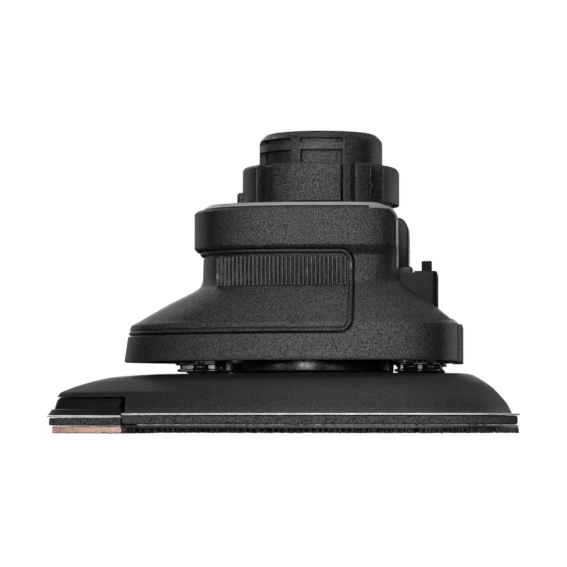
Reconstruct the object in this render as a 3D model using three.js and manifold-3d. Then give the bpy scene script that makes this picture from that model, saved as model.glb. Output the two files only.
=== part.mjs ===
// Detail sanding head for a modular oscillating tool: a quick-connect collar on top drives an
// eccentric spindle, which orbits an iron-shaped sanding platen with a replaceable pointed tip.
// Millimetres, +Z up. The origin is the centre of the pad's underside, -X is the pointed tip,
// +X the rear, and the whole head is symmetric about the XZ plane.
import * as THREE from "three";
import { mergeVertices } from "three/addons/utils/BufferGeometryUtils.js";
import Module from "manifold-3d";

const wasm = await Module();
wasm.setup();

// ---------------------------------------------------------------- driving dimensions
const PAD_LENGTH = 140; // the standard iron-shaped detail sheet is 140 x 95
const PAD_WIDTH = 95;
const AXIS_X = 11.5; // spindle axis, on the XZ plane
const ECCENTRICITY = 1; // the platen orbits on a 2 mm circle
const HUB_X = AXIS_X + ECCENTRICITY;
const GAP = 0.3; // between pieces that are fitted together
const LAYER_GAP = 0.1; // between glued layers of the pad
const FAR = 90; // reaches past the whole head

// Heights of the pad's layers and of the platen
const HOOK_TOP = 2.5;
const FOAM_TOP = 5.3;
const SHEET_TOP = 5.9;
const TIP_PAD_TOP = 2.2;
const TIP_FOAM_TOP = 4.7;
const TIP_SHEET_TOP = 5.3;
const PLATEN_TOP = 17.5;
// Heights of the housing
const SKIRT_BOTTOM = 21;
const LOWER_SEAM = 28.9;
const UPPER_SEAM = 53;
const BODY_TOP = 66.8;
const COLLAR_TOP = 78.5;
const SPIGOT_TOP = 88.3;

// The tip parts from the pad along this line, and the cover ends at this line
const TIP_SPLIT_X = -45.4;
const TIP_STEP = 1.3; // the platen's nose is cut back this much further than the pad's
const TIP_PAD_BACK_X = -37;
const COVER_END_X = 22.5;
const COVER_CORNER_R = 3.8;

// Walls
const SHELL_WALL = 4.2;
const COVER_THICKNESS = 2.2;
const COVER_POCKET = COVER_THICKNESS + GAP;

// Ball bearings: outer radius, bore radius, width
const SPINDLE_BEARING = { outer: 11, bore: 4, width: 7 };
const HUB_BEARING = { outer: 9.5, bore: 3, width: 6 };
const BEARING_RACE = 1.6;
const FIT = 0.06; // running and assembly clearance on radii

const CURVE_STEPS = 7; // points on each of the four arcs of a plan outline
const ROUND = 24; // sides of a large round part
const SMALL_ROUND = 12; // sides of a small one

// ---------------------------------------------------------------- solids from three.js geometry
function solid(geometry) {
  const plain = geometry.index ? geometry.toNonIndexed() : geometry.clone();
  plain.deleteAttribute("normal");
  plain.deleteAttribute("uv");
  const merged = mergeVertices(plain, 1e-4);
  const mesh = new wasm.Mesh({
    numProp: 3,
    vertProperties: merged.attributes.position.array,
    triVerts: new Uint32Array(merged.index.array),
  });
  return new wasm.Manifold(mesh);
}

// Slivers that the booleans leave along curved cuts are closed up on the way out
const SLIVER = 0.004;

function geometryOf(made) {
  const mesh = made.asOriginal().simplify(SLIVER).getMesh();
  const position = new Float32Array(mesh.numVert * 3);
  for (let i = 0; i < mesh.numVert; i++) {
    position.set(mesh.vertProperties.subarray(i * mesh.numProp, i * mesh.numProp + 3), i * 3);
  }
  const geometry = new THREE.BufferGeometry();
  geometry.setAttribute("position", new THREE.BufferAttribute(position, 3));
  geometry.setIndex(new THREE.BufferAttribute(new Uint32Array(mesh.triVerts), 1));
  geometry.computeVertexNormals();
  return geometry;
}

const union = (solids) => solids.reduce((whole, next) => whole.add(next));

function box(x0, x1, y0, y1, z0, z1) {
  const geometry = new THREE.BoxGeometry(x1 - x0, y1 - y0, z1 - z0);
  return solid(geometry.translate((x0 + x1) / 2, (y0 + y1) / 2, (z0 + z1) / 2));
}

function cylinder(radius, z0, z1, x = AXIS_X, y = 0, sides = ROUND, topRadius = radius) {
  const geometry = new THREE.CylinderGeometry(topRadius, radius, z1 - z0, sides);
  return solid(geometry.rotateX(Math.PI / 2).translate(x, y, (z0 + z1) / 2));
}

const ring = (outer, inner, z0, z1, x, y, sides) =>
  cylinder(outer, z0, z1, x, y, sides).subtract(cylinder(inner, z0 - 1, z1 + 1, x, y, sides));

// A cylinder that lies along Y, for the screws that clamp the two shells
function crossCylinder(radius, y0, y1, x, z, sides = SMALL_ROUND) {
  const geometry = new THREE.CylinderGeometry(radius, radius, y1 - y0, sides);
  return solid(geometry.translate(x, (y0 + y1) / 2, z));
}

function prism(shape, z0, z1, curveSegments = 6) {
  const geometry = new THREE.ExtrudeGeometry(shape, { depth: z1 - z0, bevelEnabled: false, curveSegments });
  return solid(geometry.translate(0, 0, z0));
}

// A prism along Y whose shape is drawn in X and Z
function sidePrism(shape, y0, y1, curveSegments = 6) {
  const geometry = new THREE.ExtrudeGeometry(shape, { depth: y1 - y0, bevelEnabled: false, curveSegments });
  return solid(geometry.rotateX(Math.PI / 2).translate(0, y1, 0));
}

function roundedRectangle(x0, x1, y0, y1, r) {
  const shape = new THREE.Shape();
  shape.moveTo(x0 + r, y0);
  shape.lineTo(x1 - r, y0);
  shape.absarc(x1 - r, y0 + r, r, -Math.PI / 2, 0);
  shape.lineTo(x1, y1 - r);
  shape.absarc(x1 - r, y1 - r, r, 0, Math.PI / 2);
  shape.lineTo(x0 + r, y1);
  shape.absarc(x0 + r, y1 - r, r, Math.PI / 2, Math.PI);
  shape.lineTo(x0, y0 + r);
  shape.absarc(x0 + r, y0 + r, r, Math.PI, 1.5 * Math.PI);
  return shape;
}

// ---------------------------------------------------------------- egg-shaped plan outlines
// A plan family says where the outline is widest and how full its nose and tail are.
const IRON = { belly: 0.66, noseFull: 0.12, noseReach: 0.45, tailReach: 0.62, tailFull: 0.8 };
const SKIRT = { belly: 0.64, noseFull: 0.5, noseReach: 0.5, tailReach: 0.66, tailFull: 0.84 };
const WAIST = { belly: 0.52, noseFull: 0.68, noseReach: 0.62, tailReach: 0.82, tailFull: 0.92 };

function mix(a, b, share) {
  const mixed = {};
  for (const key of Object.keys(a)) mixed[key] = a[key] + (b[key] - a[key]) * share;
  return mixed;
}

// The outline's points, anticlockwise from the nose, as two Bezier arcs and their mirror image
function outline({ front, rear, half }, family, inset = 0) {
  const nose = front + inset;
  const tail = rear - inset;
  const side = half - inset;
  const widest = front + (rear - front) * family.belly;
  const v = (x, y) => new THREE.Vector2(x, y);
  const noseArc = new THREE.CubicBezierCurve(
    v(nose, 0),
    v(nose, -side * family.noseFull),
    v(widest - (widest - nose) * family.noseReach, -side),
    v(widest, -side),
  );
  const tailArc = new THREE.CubicBezierCurve(
    v(widest, -side),
    v(widest + (tail - widest) * family.tailReach, -side),
    v(tail, -side * family.tailFull),
    v(tail, 0),
  );
  const near = [...noseArc.getPoints(CURVE_STEPS), ...tailArc.getPoints(CURVE_STEPS).slice(1)];
  const farSide = near.slice(1, -1).reverse().map((p) => v(p.x, -p.y));
  return [...near, ...farSide];
}

const outlineShape = (extent, family, inset) => new THREE.Shape(outline(extent, family, inset));

// A closed skin over outlines at rising heights, with flat ends
function loft(levels, inset = 0) {
  const rings = levels.map((level) => outline(level, level.family, inset));
  const count = rings[0].length;
  const position = [];
  rings.forEach((points, k) => points.forEach((p) => position.push(p.x, p.y, levels[k].z)));
  const index = [];
  for (let k = 0; k + 1 < rings.length; k++) {
    for (let i = 0; i < count; i++) {
      const a = k * count + i;
      const b = k * count + ((i + 1) % count);
      index.push(a, b, b + count, a, b + count, a + count);
    }
  }
  const last = rings.length - 1;
  for (const [a, b, c] of THREE.ShapeUtils.triangulateShape(rings[0], [])) index.push(c, b, a);
  for (const [a, b, c] of THREE.ShapeUtils.triangulateShape(rings[last], [])) {
    index.push(last * count + a, last * count + b, last * count + c);
  }
  const geometry = new THREE.BufferGeometry();
  geometry.setAttribute("position", new THREE.Float32BufferAttribute(position, 3));
  geometry.setIndex(index);
  return solid(geometry);
}

// ---------------------------------------------------------------- the housing's outer form
const level = (z, front, rear, half, toWaist) => ({
  z,
  front,
  rear,
  half,
  family: mix(SKIRT, WAIST, toWaist),
});

const HOUSING_LEVELS = [
  level(SKIRT_BOTTOM, -46.9, 53.4, 36, 0),
  level(LOWER_SEAM, -45.7, 53.5, 35.6, 0),
  level(31.8, -44.8, 53.4, 35.3, 0),
  level(32.8, -42.9, 51.6, 34.6, 0.05),
  level(34.9, -39.3, 49.2, 33.2, 0.25),
  level(38.5, -32.8, 44.6, 30.7, 0.5),
  level(41.2, -27.1, 39.9, 28.9, 0.75),
  level(42.8, -24.3, 37.4, 27.9, 0.95),
  level(44.6, -23.4, 36, 27.4, 1),
  level(51.4, -23.2, 36.6, 27.3, 1),
  level(54.2, -25.9, 37, 28.8, 1),
  level(64.6, -25.9, 37, 28.8, 1),
  level(65.3, -25.1, 36.5, 28, 1),
  level(65.4, -23.4, 35.8, 26.5, 1),
  level(65.8, -23.3, 35.7, 26.4, 1),
  level(BODY_TOP, -22.2, 34.8, 25.4, 1),
];
const CAVITY_TOP = BODY_TOP - SHELL_WALL;

function cavityLevels() {
  const inside = HOUSING_LEVELS.filter((l) => l.z < CAVITY_TOP);
  return [{ ...inside[0], z: SKIRT_BOTTOM - 1 }, ...inside, { ...inside.at(-1), z: CAVITY_TOP }];
}

const housingForm = loft(HOUSING_LEVELS);

// The rear top corner is rounded in side view
const CORNER_RX = 8.7;
const CORNER_RZ = 5.4;
function sideLimit() {
  const shape = new THREE.Shape();
  const rear = 34.9;
  shape.moveTo(-FAR, SKIRT_BOTTOM - 5);
  shape.lineTo(FAR, SKIRT_BOTTOM - 5);
  shape.lineTo(FAR, 44.6);
  shape.lineTo(38.5, 44.6);
  shape.lineTo(rear, 48.2);
  shape.lineTo(rear, BODY_TOP - CORNER_RZ);
  shape.absellipse(rear - CORNER_RX, BODY_TOP - CORNER_RZ, CORNER_RX, CORNER_RZ, 0, Math.PI / 2);
  shape.lineTo(-FAR, BODY_TOP);
  return sidePrism(shape, -FAR, FAR);
}

// The front cover's window in side view, open at the nose
function coverWindow(grow) {
  const shape = new THREE.Shape();
  const bottom = LOWER_SEAM - grow;
  const top = UPPER_SEAM + grow;
  const end = COVER_END_X + grow;
  const r = COVER_CORNER_R + grow;
  shape.moveTo(-FAR, bottom);
  shape.lineTo(end - r, bottom);
  shape.absarc(end - r, bottom + r, r, -Math.PI / 2, 0);
  shape.lineTo(end, top - r);
  shape.absarc(end - r, top - r, r, 0, Math.PI / 2);
  shape.lineTo(-FAR, top);
  return sidePrism(shape, -FAR, FAR);
}

// ---------------------------------------------------------------- grip cover
const RIB = { first: -17.6, pitch: 1.2, count: 32, bottom: 43.6, top: 51.2, height: 0.45, width: 0.7 };

function noseCover() {
  const skin = housingForm.subtract(loft(HOUSING_LEVELS, COVER_THICKNESS));
  const plain = skin.intersect(coverWindow(-GAP / 2));
  const ribSkin = loft(HOUSING_LEVELS, -RIB.height).subtract(loft(HOUSING_LEVELS, COVER_THICKNESS / 2));
  const ribs = [];
  for (let i = 0; i < RIB.count; i += 2) {
    const x = RIB.first + i * RIB.pitch;
    for (const [y0, y1] of [[-FAR, 0], [0, FAR]]) {
      ribs.push(box(x, x + RIB.width, y0, y1, RIB.bottom, RIB.top).intersect(ribSkin));
    }
  }
  return plain.add(union(ribs));
}

// ---------------------------------------------------------------- shells
const SCREW_SITES = [
  { x: -17.5, z: 60, reach: 17 },
  { x: 29.5, z: 56, reach: 21 },
  { x: 45.5, z: 29.2, reach: 22 },
];
const SCREW = { head: 2.8, headDeep: 2, shank: 1.5, boss: 3.4 };
const BASE_SCREWS = [
  { x: -12, y: 21.8 },
  { x: 37, y: 24.5 },
];
const NECK_R = 17.7;
const FLANGE_R = 19.2;
const FLANGE_Z0 = 60.4;
const OUTLET = { x0: 31.7, x1: 46, half: 12.5, z0: 33.8, z1: 47.4, wall: 2, web: 3.4 };
const SPINE = { x0: 33, x1: 37.6, half: 8.5, z0: 48.6, z1: 63.2, wall: 1.6 };

function shellForm() {
  const form = housingForm.intersect(sideLimit());
  const cavity = loft(cavityLevels(), SHELL_WALL);
  const skinDepth = loft(HOUSING_LEVELS, -2).subtract(loft(HOUSING_LEVELS, COVER_POCKET));
  const pocket = skinDepth.intersect(coverWindow(GAP / 2));
  return form.subtract(cavity).subtract(pocket);
}

const shellBlank = shellForm();

// side is -1 for the shell at -Y and 1 for the one at +Y, which takes the screw heads
function shell(side) {
  const [y0, y1] = side < 0 ? [-FAR, -LAYER_GAP] : [LAYER_GAP, FAR];
  const inner = side * LAYER_GAP;
  const bosses = SCREW_SITES.map(({ x, z, reach }) => {
    const ends = [inner, side * reach].sort((a, b) => a - b);
    return crossCylinder(SCREW.boss, ends[0], ends[1], x, z).intersect(housingForm);
  });
  const posts = BASE_SCREWS.map(({ x, y }) => {
    const [w0, w1] = [side * y, side * FAR].sort((a, b) => a - b);
    const web = box(x - 1.2, x + 1.2, w0, w1, BASE_Z[1] + GAP, 33);
    return cylinder(3, BASE_Z[1] + GAP, 33, x, side * y, SMALL_ROUND).add(web);
  });
  const innerLimit = loft(HOUSING_LEVELS, COVER_POCKET + GAP);
  let made = shellBlank.intersect(box(-FAR, FAR, y0, y1, 0, FAR));
  made = made.add(union([...bosses, ...posts]).intersect(innerLimit));
  const shank = SCREW.shank + FIT;
  for (const { x, z, reach } of SCREW_SITES) {
    if (side > 0) {
      made = made.subtract(crossCylinder(shank, -1, FAR, x, z));
      made = made.subtract(crossCylinder(SCREW.head + GAP, reach - 2, FAR, x, z));
    } else {
      made = made.subtract(crossCylinder(shank, -reach + 4, 1, x, z));
    }
  }
  for (const { x, y } of BASE_SCREWS) {
    made = made.subtract(cylinder(1.3 + FIT, 20, 30, x, side * y, SMALL_ROUND));
  }
  made = made.subtract(cylinder(NECK_R + GAP, CAVITY_TOP - 1, BODY_TOP + 1));
  const { x0, half, z0, z1 } = OUTLET;
  made = made.subtract(box(x0 - 2, FAR, -half - GAP, half + GAP, z0 - GAP, z1 + GAP));
  const spineHalf = SPINE.half + GAP;
  made = made.subtract(box(SPINE.x0 - GAP, FAR, -spineHalf, spineHalf, SPINE.z0 - GAP, SPINE.z1 + GAP));
  return made;
}

function caseScrew({ x, z, reach }) {
  const head = crossCylinder(SCREW.head, reach - 1.9, reach - 1.9 + SCREW.headDeep, x, z);
  const socket = crossCylinder(1.2, reach - 1.2, reach + 2, x, z, 6);
  const shank = crossCylinder(SCREW.shank, -reach + 4.6, reach - 1.5, x, z);
  return head.add(shank).subtract(socket);
}

// ---------------------------------------------------------------- quick-connect collar
// Sectors are degrees from -Y towards +X. The lugs stand out to the collar's full radius.
const COLLAR = { radius: 23.2, root: 20.2, deepRoot: 18.6 };
const LUGS = [
  [-124, -51],
  [-35, 18],
  [29, 42],
  [56, 88],
];
const SPIGOT = { radius: 18.2, recess: 17.2, bore: 13.6, chamfer: 1.8, rim: 86.4 };
const BAYONET_RECESS = [-78, 24];
const BAYONET_KEY = [-25, -16];
const BAYONET_RIB = [82.9, 84.6];

function sector(from, to, inner, outer, z0, z1) {
  const start = ((from - 90) * Math.PI) / 180;
  const end = ((to - 90) * Math.PI) / 180;
  const shape = new THREE.Shape();
  shape.absarc(0, 0, outer, start, end, false);
  shape.absarc(0, 0, inner, end, start, true);
  const sides = Math.max(3, Math.round((to - from) / 12));
  return prism(shape, z0, z1, sides).translate([AXIS_X, 0, 0]);
}

// The lugs are on both sides of the XZ plane
const mirrored = (made) => made.mirror([0, 1, 0]);

function lugs() {
  const near = LUGS.map(([a, b]) => sector(a, b, COLLAR.root - 2, COLLAR.radius, BODY_TOP + GAP, COLLAR_TOP));
  const whole = union(near).intersect(box(-FAR, FAR, -FAR, 0.5, 0, FAR));
  return whole.add(mirrored(whole));
}

function bayonet() {
  const turn = (made) => made.translate([-AXIS_X, 0, 0]).rotate([0, 0, 180]).translate([AXIS_X, 0, 0]);
  const [a, b] = BAYONET_RECESS;
  const z0 = COLLAR_TOP;
  let cut = sector(a, b, SPIGOT.recess, SPIGOT.radius + 2, z0 + 0.4, SPIGOT.rim);
  cut = cut.subtract(sector(...BAYONET_KEY, SPIGOT.recess - 1, 40, z0, SPIGOT_TOP));
  cut = cut.subtract(sector(a - 5, b + 5, SPIGOT.recess - 1, 40, ...BAYONET_RIB));
  const straight = cylinder(SPIGOT.radius, z0 - 2, SPIGOT_TOP - SPIGOT.chamfer);
  const bevelled = cylinder(
    SPIGOT.radius, SPIGOT_TOP - SPIGOT.chamfer, SPIGOT_TOP, AXIS_X, 0, ROUND, SPIGOT.radius - SPIGOT.chamfer,
  );
  return straight.add(bevelled).subtract(cut).subtract(turn(cut));
}

const UPPER_BEARING_Z = 61.4;
function quickConnectCollar() {
  const flange = cylinder(FLANGE_R, FLANGE_Z0, CAVITY_TOP - GAP);
  const neck = cylinder(NECK_R, FLANGE_Z0, BODY_TOP + 1);
  const core = cylinder(COLLAR.root, BODY_TOP + GAP, COLLAR_TOP - 0.3);
  const key = box(-13.6, -9, -3, 3, BODY_TOP + GAP, 71);
  let made = union([flange, neck, core, lugs(), bayonet(), key]);
  const deepSlot = sector(43, 55, COLLAR.deepRoot, 40, BODY_TOP + GAP + 1.2, COLLAR_TOP);
  made = made.subtract(deepSlot).subtract(mirrored(deepSlot));
  made = made.subtract(cylinder(SPIGOT.bore, 74, SPIGOT_TOP + 1));
  made = made.subtract(cylinder(6.5, 67, 75));
  made = made.subtract(cylinder(SPINDLE_BEARING.outer + FIT, 59, UPPER_BEARING_Z + SPINDLE_BEARING.width + FIT));
  return made;
}

// A bent strip of spring steel in the collar's deep slot
function detentSpring() {
  const strip = sector(45.5, 52.5, COLLAR.deepRoot + 0.3, COLLAR.deepRoot + 0.8, 70, 78.5);
  const nose = sector(46.5, 51.5, COLLAR.deepRoot + 0.5, COLLAR.deepRoot + 2, 71.4, 73);
  return strip.add(nose);
}

// ---------------------------------------------------------------- bearings
// Both races and the shield are one solid: the bearing turns inside, which this size doesn't show.
function bearing({ outer, bore, width }, z0, x = AXIS_X) {
  const races = ring(outer - FIT, bore + FIT, z0, z0 + width, x, 0, ROUND);
  const groove = ring(outer - BEARING_RACE, bore + BEARING_RACE, z0 + width - 0.4, z0 + width + 1, x, 0, ROUND);
  return races.subtract(groove);
}

const hubOuterRace = () =>
  ring(HUB_BEARING.outer - FIT, 6.6, HUB_BEARING_Z, HUB_BEARING_Z + HUB_BEARING.width, HUB_X, 0, ROUND);
const hubInnerRace = () =>
  ring(6.2, HUB_BEARING.bore + FIT, HUB_BEARING_Z, HUB_BEARING_Z + HUB_BEARING.width, HUB_X, 0, ROUND);

// ---------------------------------------------------------------- bearing bridge and base plate
const LOWER_BEARING_Z = 43.6;
const BRIDGE_Z = [47, 49.6];

function bearingBridge() {
  const extent = { front: -22.9, rear: 35.7, half: 27.2 };
  const plate = prism(outlineShape(extent, WAIST, SHELL_WALL + GAP), ...BRIDGE_Z);
  const hub = cylinder(13.4, LOWER_BEARING_Z - 0.6, LOWER_BEARING_Z + SPINDLE_BEARING.width + 1);
  const seat = cylinder(SPINDLE_BEARING.outer + FIT, 40, LOWER_BEARING_Z + SPINDLE_BEARING.width + FIT);
  const vents = [-12, -5].map((x) => box(x - 2, x + 2, -10, 10, 40, 60));
  return plate.add(hub).subtract(seat).subtract(cylinder(7, 40, 60)).subtract(union(vents));
}

const BASE_Z = [21.8, 24.3];
const FOOT_Z = 18; // the shroud and the legs end just above the platen
const SHROUD = { x: 8, outer: 25, inner: 23.1, mouth: 21.5 };
// Plan limits of each leg's body, on the +Y side
const LEG_SITES = [
  { where: "front", x0: -30.1, x1: -16.3, y0: 8.5, y1: 17.5, columns: [-22.6] },
  { where: "rear", x0: 33.2, x1: 48.4, y0: 8.5, y1: 17.5, columns: [38.4, 44] },
];
const LEG = { plug: 3.2, column: 3, flange: 0.8, corner: 2.4, core: 1.3 };
const plugX = ({ x0, x1 }) => (x0 + x1) / 2 - 0.8;
const plugY = ({ y0, y1 }) => (y0 + y1) / 2;

function basePlate() {
  const extent = { front: -46.1, rear: 53, half: 35.7 };
  let made = prism(outlineShape(extent, SKIRT, SHELL_WALL + GAP), ...BASE_Z);
  made = made.subtract(cylinder(SHROUD.mouth, 15, 30, SHROUD.x));
  for (const site of LEG_SITES) {
    const hole = cylinder(LEG.plug + GAP, 15, 30, plugX(site), plugY(site), SMALL_ROUND);
    made = made.subtract(hole).subtract(mirrored(hole));
  }
  for (const { x, y } of BASE_SCREWS) {
    for (const s of [-1, 1]) made = made.subtract(cylinder(1.6, 15, 30, x, s * y, SMALL_ROUND));
  }
  return made;
}

function fanShroud() {
  const { x, outer, inner, mouth } = SHROUD;
  const top = BASE_Z[0] - GAP;
  const skirt = ring(outer, inner, FOOT_Z, top, x, 0, 36);
  return skirt.add(ring(outer, mouth + GAP, top - 1.2, top, x, 0, 36));
}

// The upper end plugs into the base plate and the foot rides just above the platen
function leg(site) {
  const { x0, x1, y0, y1, columns } = site;
  const { flange, corner, column } = LEG;
  const plan = (inset) => roundedRectangle(x0 + inset, x1 - inset, y0 + inset, y1 - inset, corner - inset);
  const foot = prism(plan(0.5), FOOT_Z, FOOT_Z + flange, 2);
  const top = prism(plan(0), SKIRT_BOTTOM - GAP - flange, SKIRT_BOTTOM - GAP, 2);
  const core = prism(plan(LEG.core), FOOT_Z + 0.4, SKIRT_BOTTOM - 0.5, 2);
  const neck = prism(plan(1.5), SKIRT_BOTTOM - 1, BASE_Z[0] - LAYER_GAP, 2);
  const plug = cylinder(LEG.plug, BASE_Z[0] - 1, BASE_Z[1], plugX(site), plugY(site), SMALL_ROUND);
  const posts = columns.map((x) =>
    cylinder(column, FOOT_Z + 0.2, SKIRT_BOTTOM - 0.5, x, y1 - column - 0.2, SMALL_ROUND),
  );
  return union([foot, top, core, neck, plug, ...posts]);
}

function baseScrew(x, y) {
  const head = cylinder(2.4, BASE_Z[0] - 1.5, BASE_Z[0] - LAYER_GAP, x, y, SMALL_ROUND);
  const shank = cylinder(1.3, BASE_Z[0] - 1, 29, x, y, SMALL_ROUND);
  return head.add(shank).subtract(cylinder(1, 19, BASE_Z[0] - 0.9, x, y, 6));
}

// ---------------------------------------------------------------- spindle
const PIN_Z0 = 9.9;
const FAN = { radius: 18.4, hub: 7, disc: [38, 39.4], bladeBottom: 28.5, blades: 9, bladeWidth: 1.2 };

function driveShaft() {
  const main = cylinder(SPINDLE_BEARING.bore - FIT, 24.5, 79, AXIS_X, 0, 20);
  const shoulder = cylinder(5.4, LOWER_BEARING_Z + 7.6, 58, AXIS_X, 0, 20);
  const crank = cylinder(5.6, 22.4, 26.5, AXIS_X, 0, 20);
  const pinShoulder = cylinder(4.4, 16.6, 22.6, HUB_X, 0, 20);
  const pin = cylinder(HUB_BEARING.bore - FIT, PIN_Z0, 17, HUB_X, 0, 20);
  return union([main, shoulder, crank, pinShoulder, pin]).subtract(cylinder(1.6, 9, 20, HUB_X, 0, SMALL_ROUND));
}

// A dog coupling with six teeth that the tool's drive drops onto
function driveCoupler() {
  const body = ring(8, SPINDLE_BEARING.bore + FIT, 76, 82);
  const teeth = [];
  for (let k = 0; k < 6; k++) teeth.push(sector(k * 60 - 15, k * 60 + 15, 5, 8, 81.5, 86));
  return body.add(union(teeth));
}

function coolingFan() {
  const disc = cylinder(FAN.radius, ...FAN.disc);
  const hub = cylinder(FAN.hub, FAN.bladeBottom, FAN.disc[1]);
  const blades = [];
  for (let k = 0; k < FAN.blades; k++) {
    const blade = box(FAN.hub - 1, FAN.radius - 0.4, -FAN.bladeWidth / 2, FAN.bladeWidth / 2, FAN.bladeBottom, 38.5);
    blades.push(blade.rotate([0, 0, (360 * k) / FAN.blades]).translate([AXIS_X, 0, 0]));
  }
  const bore = cylinder(SPINDLE_BEARING.bore + FIT, 20, 50);
  return union([disc, hub, ...blades]).subtract(bore);
}

// Heavy on the side away from the eccentric pin
function counterweight() {
  const boss = cylinder(7.5, FAN.disc[1] + LAYER_GAP, 42.4);
  const sideWeight = sector(-170, -10, 4.5, 16.5, FAN.disc[1] + LAYER_GAP, 42.4);
  return boss.add(sideWeight).subtract(cylinder(SPINDLE_BEARING.bore + FIT, 20, 50));
}

function hubScrew() {
  const washer = cylinder(5.8, PIN_Z0 - 1.1, PIN_Z0 - 0.2, HUB_X, 0, 20);
  const head = cylinder(4, PIN_Z0 - 3.1, PIN_Z0 - 1, HUB_X, 0, 20);
  const shank = cylinder(1.5, PIN_Z0 - 1, 18, HUB_X, 0, SMALL_ROUND);
  const socket = cylinder(1.9, 0, PIN_Z0 - 1.7, HUB_X, 0, 6);
  return union([washer, head, shank]).subtract(socket);
}

// ---------------------------------------------------------------- platen and pads
const ironLevel = (z, front, rear, half, blunt) => ({
  z,
  front,
  rear,
  half,
  family: mix(IRON, SKIRT, blunt),
});
const PLATEN_LEVELS = [
  ironLevel(SHEET_TOP + LAYER_GAP, -69, 67.7, 47.1, 0),
  ironLevel(8.7, -68, 66.4, 45.8, 0),
  ironLevel(10.8, -67, 64.7, 44.4, 0),
  ironLevel(12.2, -66, 63.4, 43, 0.05),
  ironLevel(13.8, -62, 61.8, 40.8, 0.15),
  ironLevel(15.3, -57, 59.7, 38, 0.3),
  ironLevel(16.5, -51.8, 57.7, 34.8, 0.45),
  ironLevel(17.1, -46.2, 56.5, 32.6, 0.6),
  ironLevel(PLATEN_TOP, -38.5, 55.3, 30, 0.75),
];
const PLATEN_WALL = 1.8;
const PLATEN_ROOF = 2.4;
const HUB_BEARING_Z = 10;
const DUST_HOLES = { count: 6, radius: 18.6, hole: 4, wall: 1.4 };
const PAD_EXTENT = { front: -PAD_LENGTH / 2, rear: PAD_LENGTH / 2, half: PAD_WIDTH / 2 };
const SERVICE_HOLE_R = 6.5;
const TIP_ROOF_Z = 11;

function dustSites() {
  const sites = [];
  for (let k = 0; k < DUST_HOLES.count; k++) {
    const angle = (2 * Math.PI * (k + 0.5)) / DUST_HOLES.count;
    sites.push([HUB_X + DUST_HOLES.radius * Math.cos(angle), DUST_HOLES.radius * Math.sin(angle)]);
  }
  return sites;
}

const dustDrills = () => union(dustSites().map(([x, y]) => cylinder(DUST_HOLES.hole, -1, 30, x, y, SMALL_ROUND)));

function platen() {
  const dropped = PLATEN_LEVELS.map((l) => ({ ...l, front: Math.max(l.front, -41.5), z: l.z - PLATEN_ROOF }));
  const hollowLevels = [{ ...dropped[1], z: SHEET_TOP - 1 }, ...dropped.filter((l) => l.z > SHEET_TOP)];
  const bottom = SHEET_TOP + LAYER_GAP;
  const hub = cylinder(HUB_BEARING.outer + 2.6, 7.6, PLATEN_TOP - 1, HUB_X);
  const tubes = dustSites().map(([x, y]) =>
    cylinder(DUST_HOLES.hole + DUST_HOLES.wall, bottom, PLATEN_TOP - 1, x, y, SMALL_ROUND),
  );
  const ribs = [
    box(-46, 66, -0.9, 0.9, bottom, 15.5),
    box(-5, -3.2, -44, 44, bottom, 15),
    box(30, 31.8, -44, 44, bottom, 15),
  ];
  const form = loft(PLATEN_LEVELS);
  let made = form.subtract(loft(hollowLevels, PLATEN_WALL));
  made = made.add(union([hub, ...tubes, ...ribs]).intersect(form));
  made = made.subtract(cylinder(HUB_BEARING.outer + FIT, 5, HUB_BEARING_Z + HUB_BEARING.width + FIT, HUB_X));
  made = made.subtract(cylinder(7, 5, 20, HUB_X));
  made = made.subtract(dustDrills());
  // the nose is cut away below for the tip, with a slot for its tongue
  made = made.subtract(box(-FAR, TIP_SPLIT_X + TIP_STEP, -FAR, FAR, 0, TIP_ROOF_Z));
  return made.subtract(box(-FAR, -36.5, -6.4, 6.4, 6.6, 9.9));
}

const tipSide = () => box(-FAR, TIP_SPLIT_X, -FAR, FAR, -1, 30);
const padSide = () => box(TIP_SPLIT_X + GAP, FAR, -FAR, FAR, -1, 30);
const padLayer = (z0, z1, inset = 0) => prism(outlineShape(PAD_EXTENT, IRON, inset), z0, z1);

function drilled(layer) {
  return layer.subtract(dustDrills()).subtract(cylinder(SERVICE_HOLE_R, -1, 8, HUB_X));
}

const backingSheet = () => drilled(padLayer(FOAM_TOP + LAYER_GAP, SHEET_TOP, 0).intersect(padSide()));
const foamPad = () => drilled(padLayer(HOOK_TOP + LAYER_GAP, FOAM_TOP, 0.5).intersect(padSide()));

// The tip's pad is a diamond, and the main pad has the matching notch
function diamond(grow) {
  const shape = new THREE.Shape();
  shape.moveTo(-FAR, -FAR);
  shape.lineTo(TIP_SPLIT_X + grow, -FAR);
  shape.lineTo(TIP_SPLIT_X + grow, -17);
  shape.lineTo(TIP_PAD_BACK_X + grow, 0);
  shape.lineTo(TIP_SPLIT_X + grow, 17);
  shape.lineTo(TIP_SPLIT_X + grow, FAR);
  shape.lineTo(-FAR, FAR);
  return prism(shape, -1, 4);
}

const hookPad = () => drilled(padLayer(0, HOOK_TOP, 0.2).subtract(diamond(GAP)));
const tipPad = () => padLayer(0, TIP_PAD_TOP, 1.2).intersect(diamond(0));
const tipFoam = () => padLayer(TIP_PAD_TOP + LAYER_GAP, TIP_FOAM_TOP, 0.3).intersect(tipSide());
const tipSheet = () => padLayer(TIP_FOAM_TOP + LAYER_GAP, TIP_SHEET_TOP).intersect(tipSide());

function tipInsert() {
  const levels = [
    { ...PLATEN_LEVELS[0], z: TIP_SHEET_TOP + LAYER_GAP, front: -69.8, half: 47 },
    { ...PLATEN_LEVELS[0], z: 7.2, front: -68.4, half: 45.6 },
    { ...PLATEN_LEVELS[0], z: 7.4, front: -67.8, half: 45 },
    { ...PLATEN_LEVELS[0], z: TIP_ROOF_Z - GAP, front: -66.6, half: 43.6 },
  ];
  const wedge = loft(levels).intersect(tipSide());
  return wedge.add(box(-50, -37.4, -6, 6, 7, 9.5));
}

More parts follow.
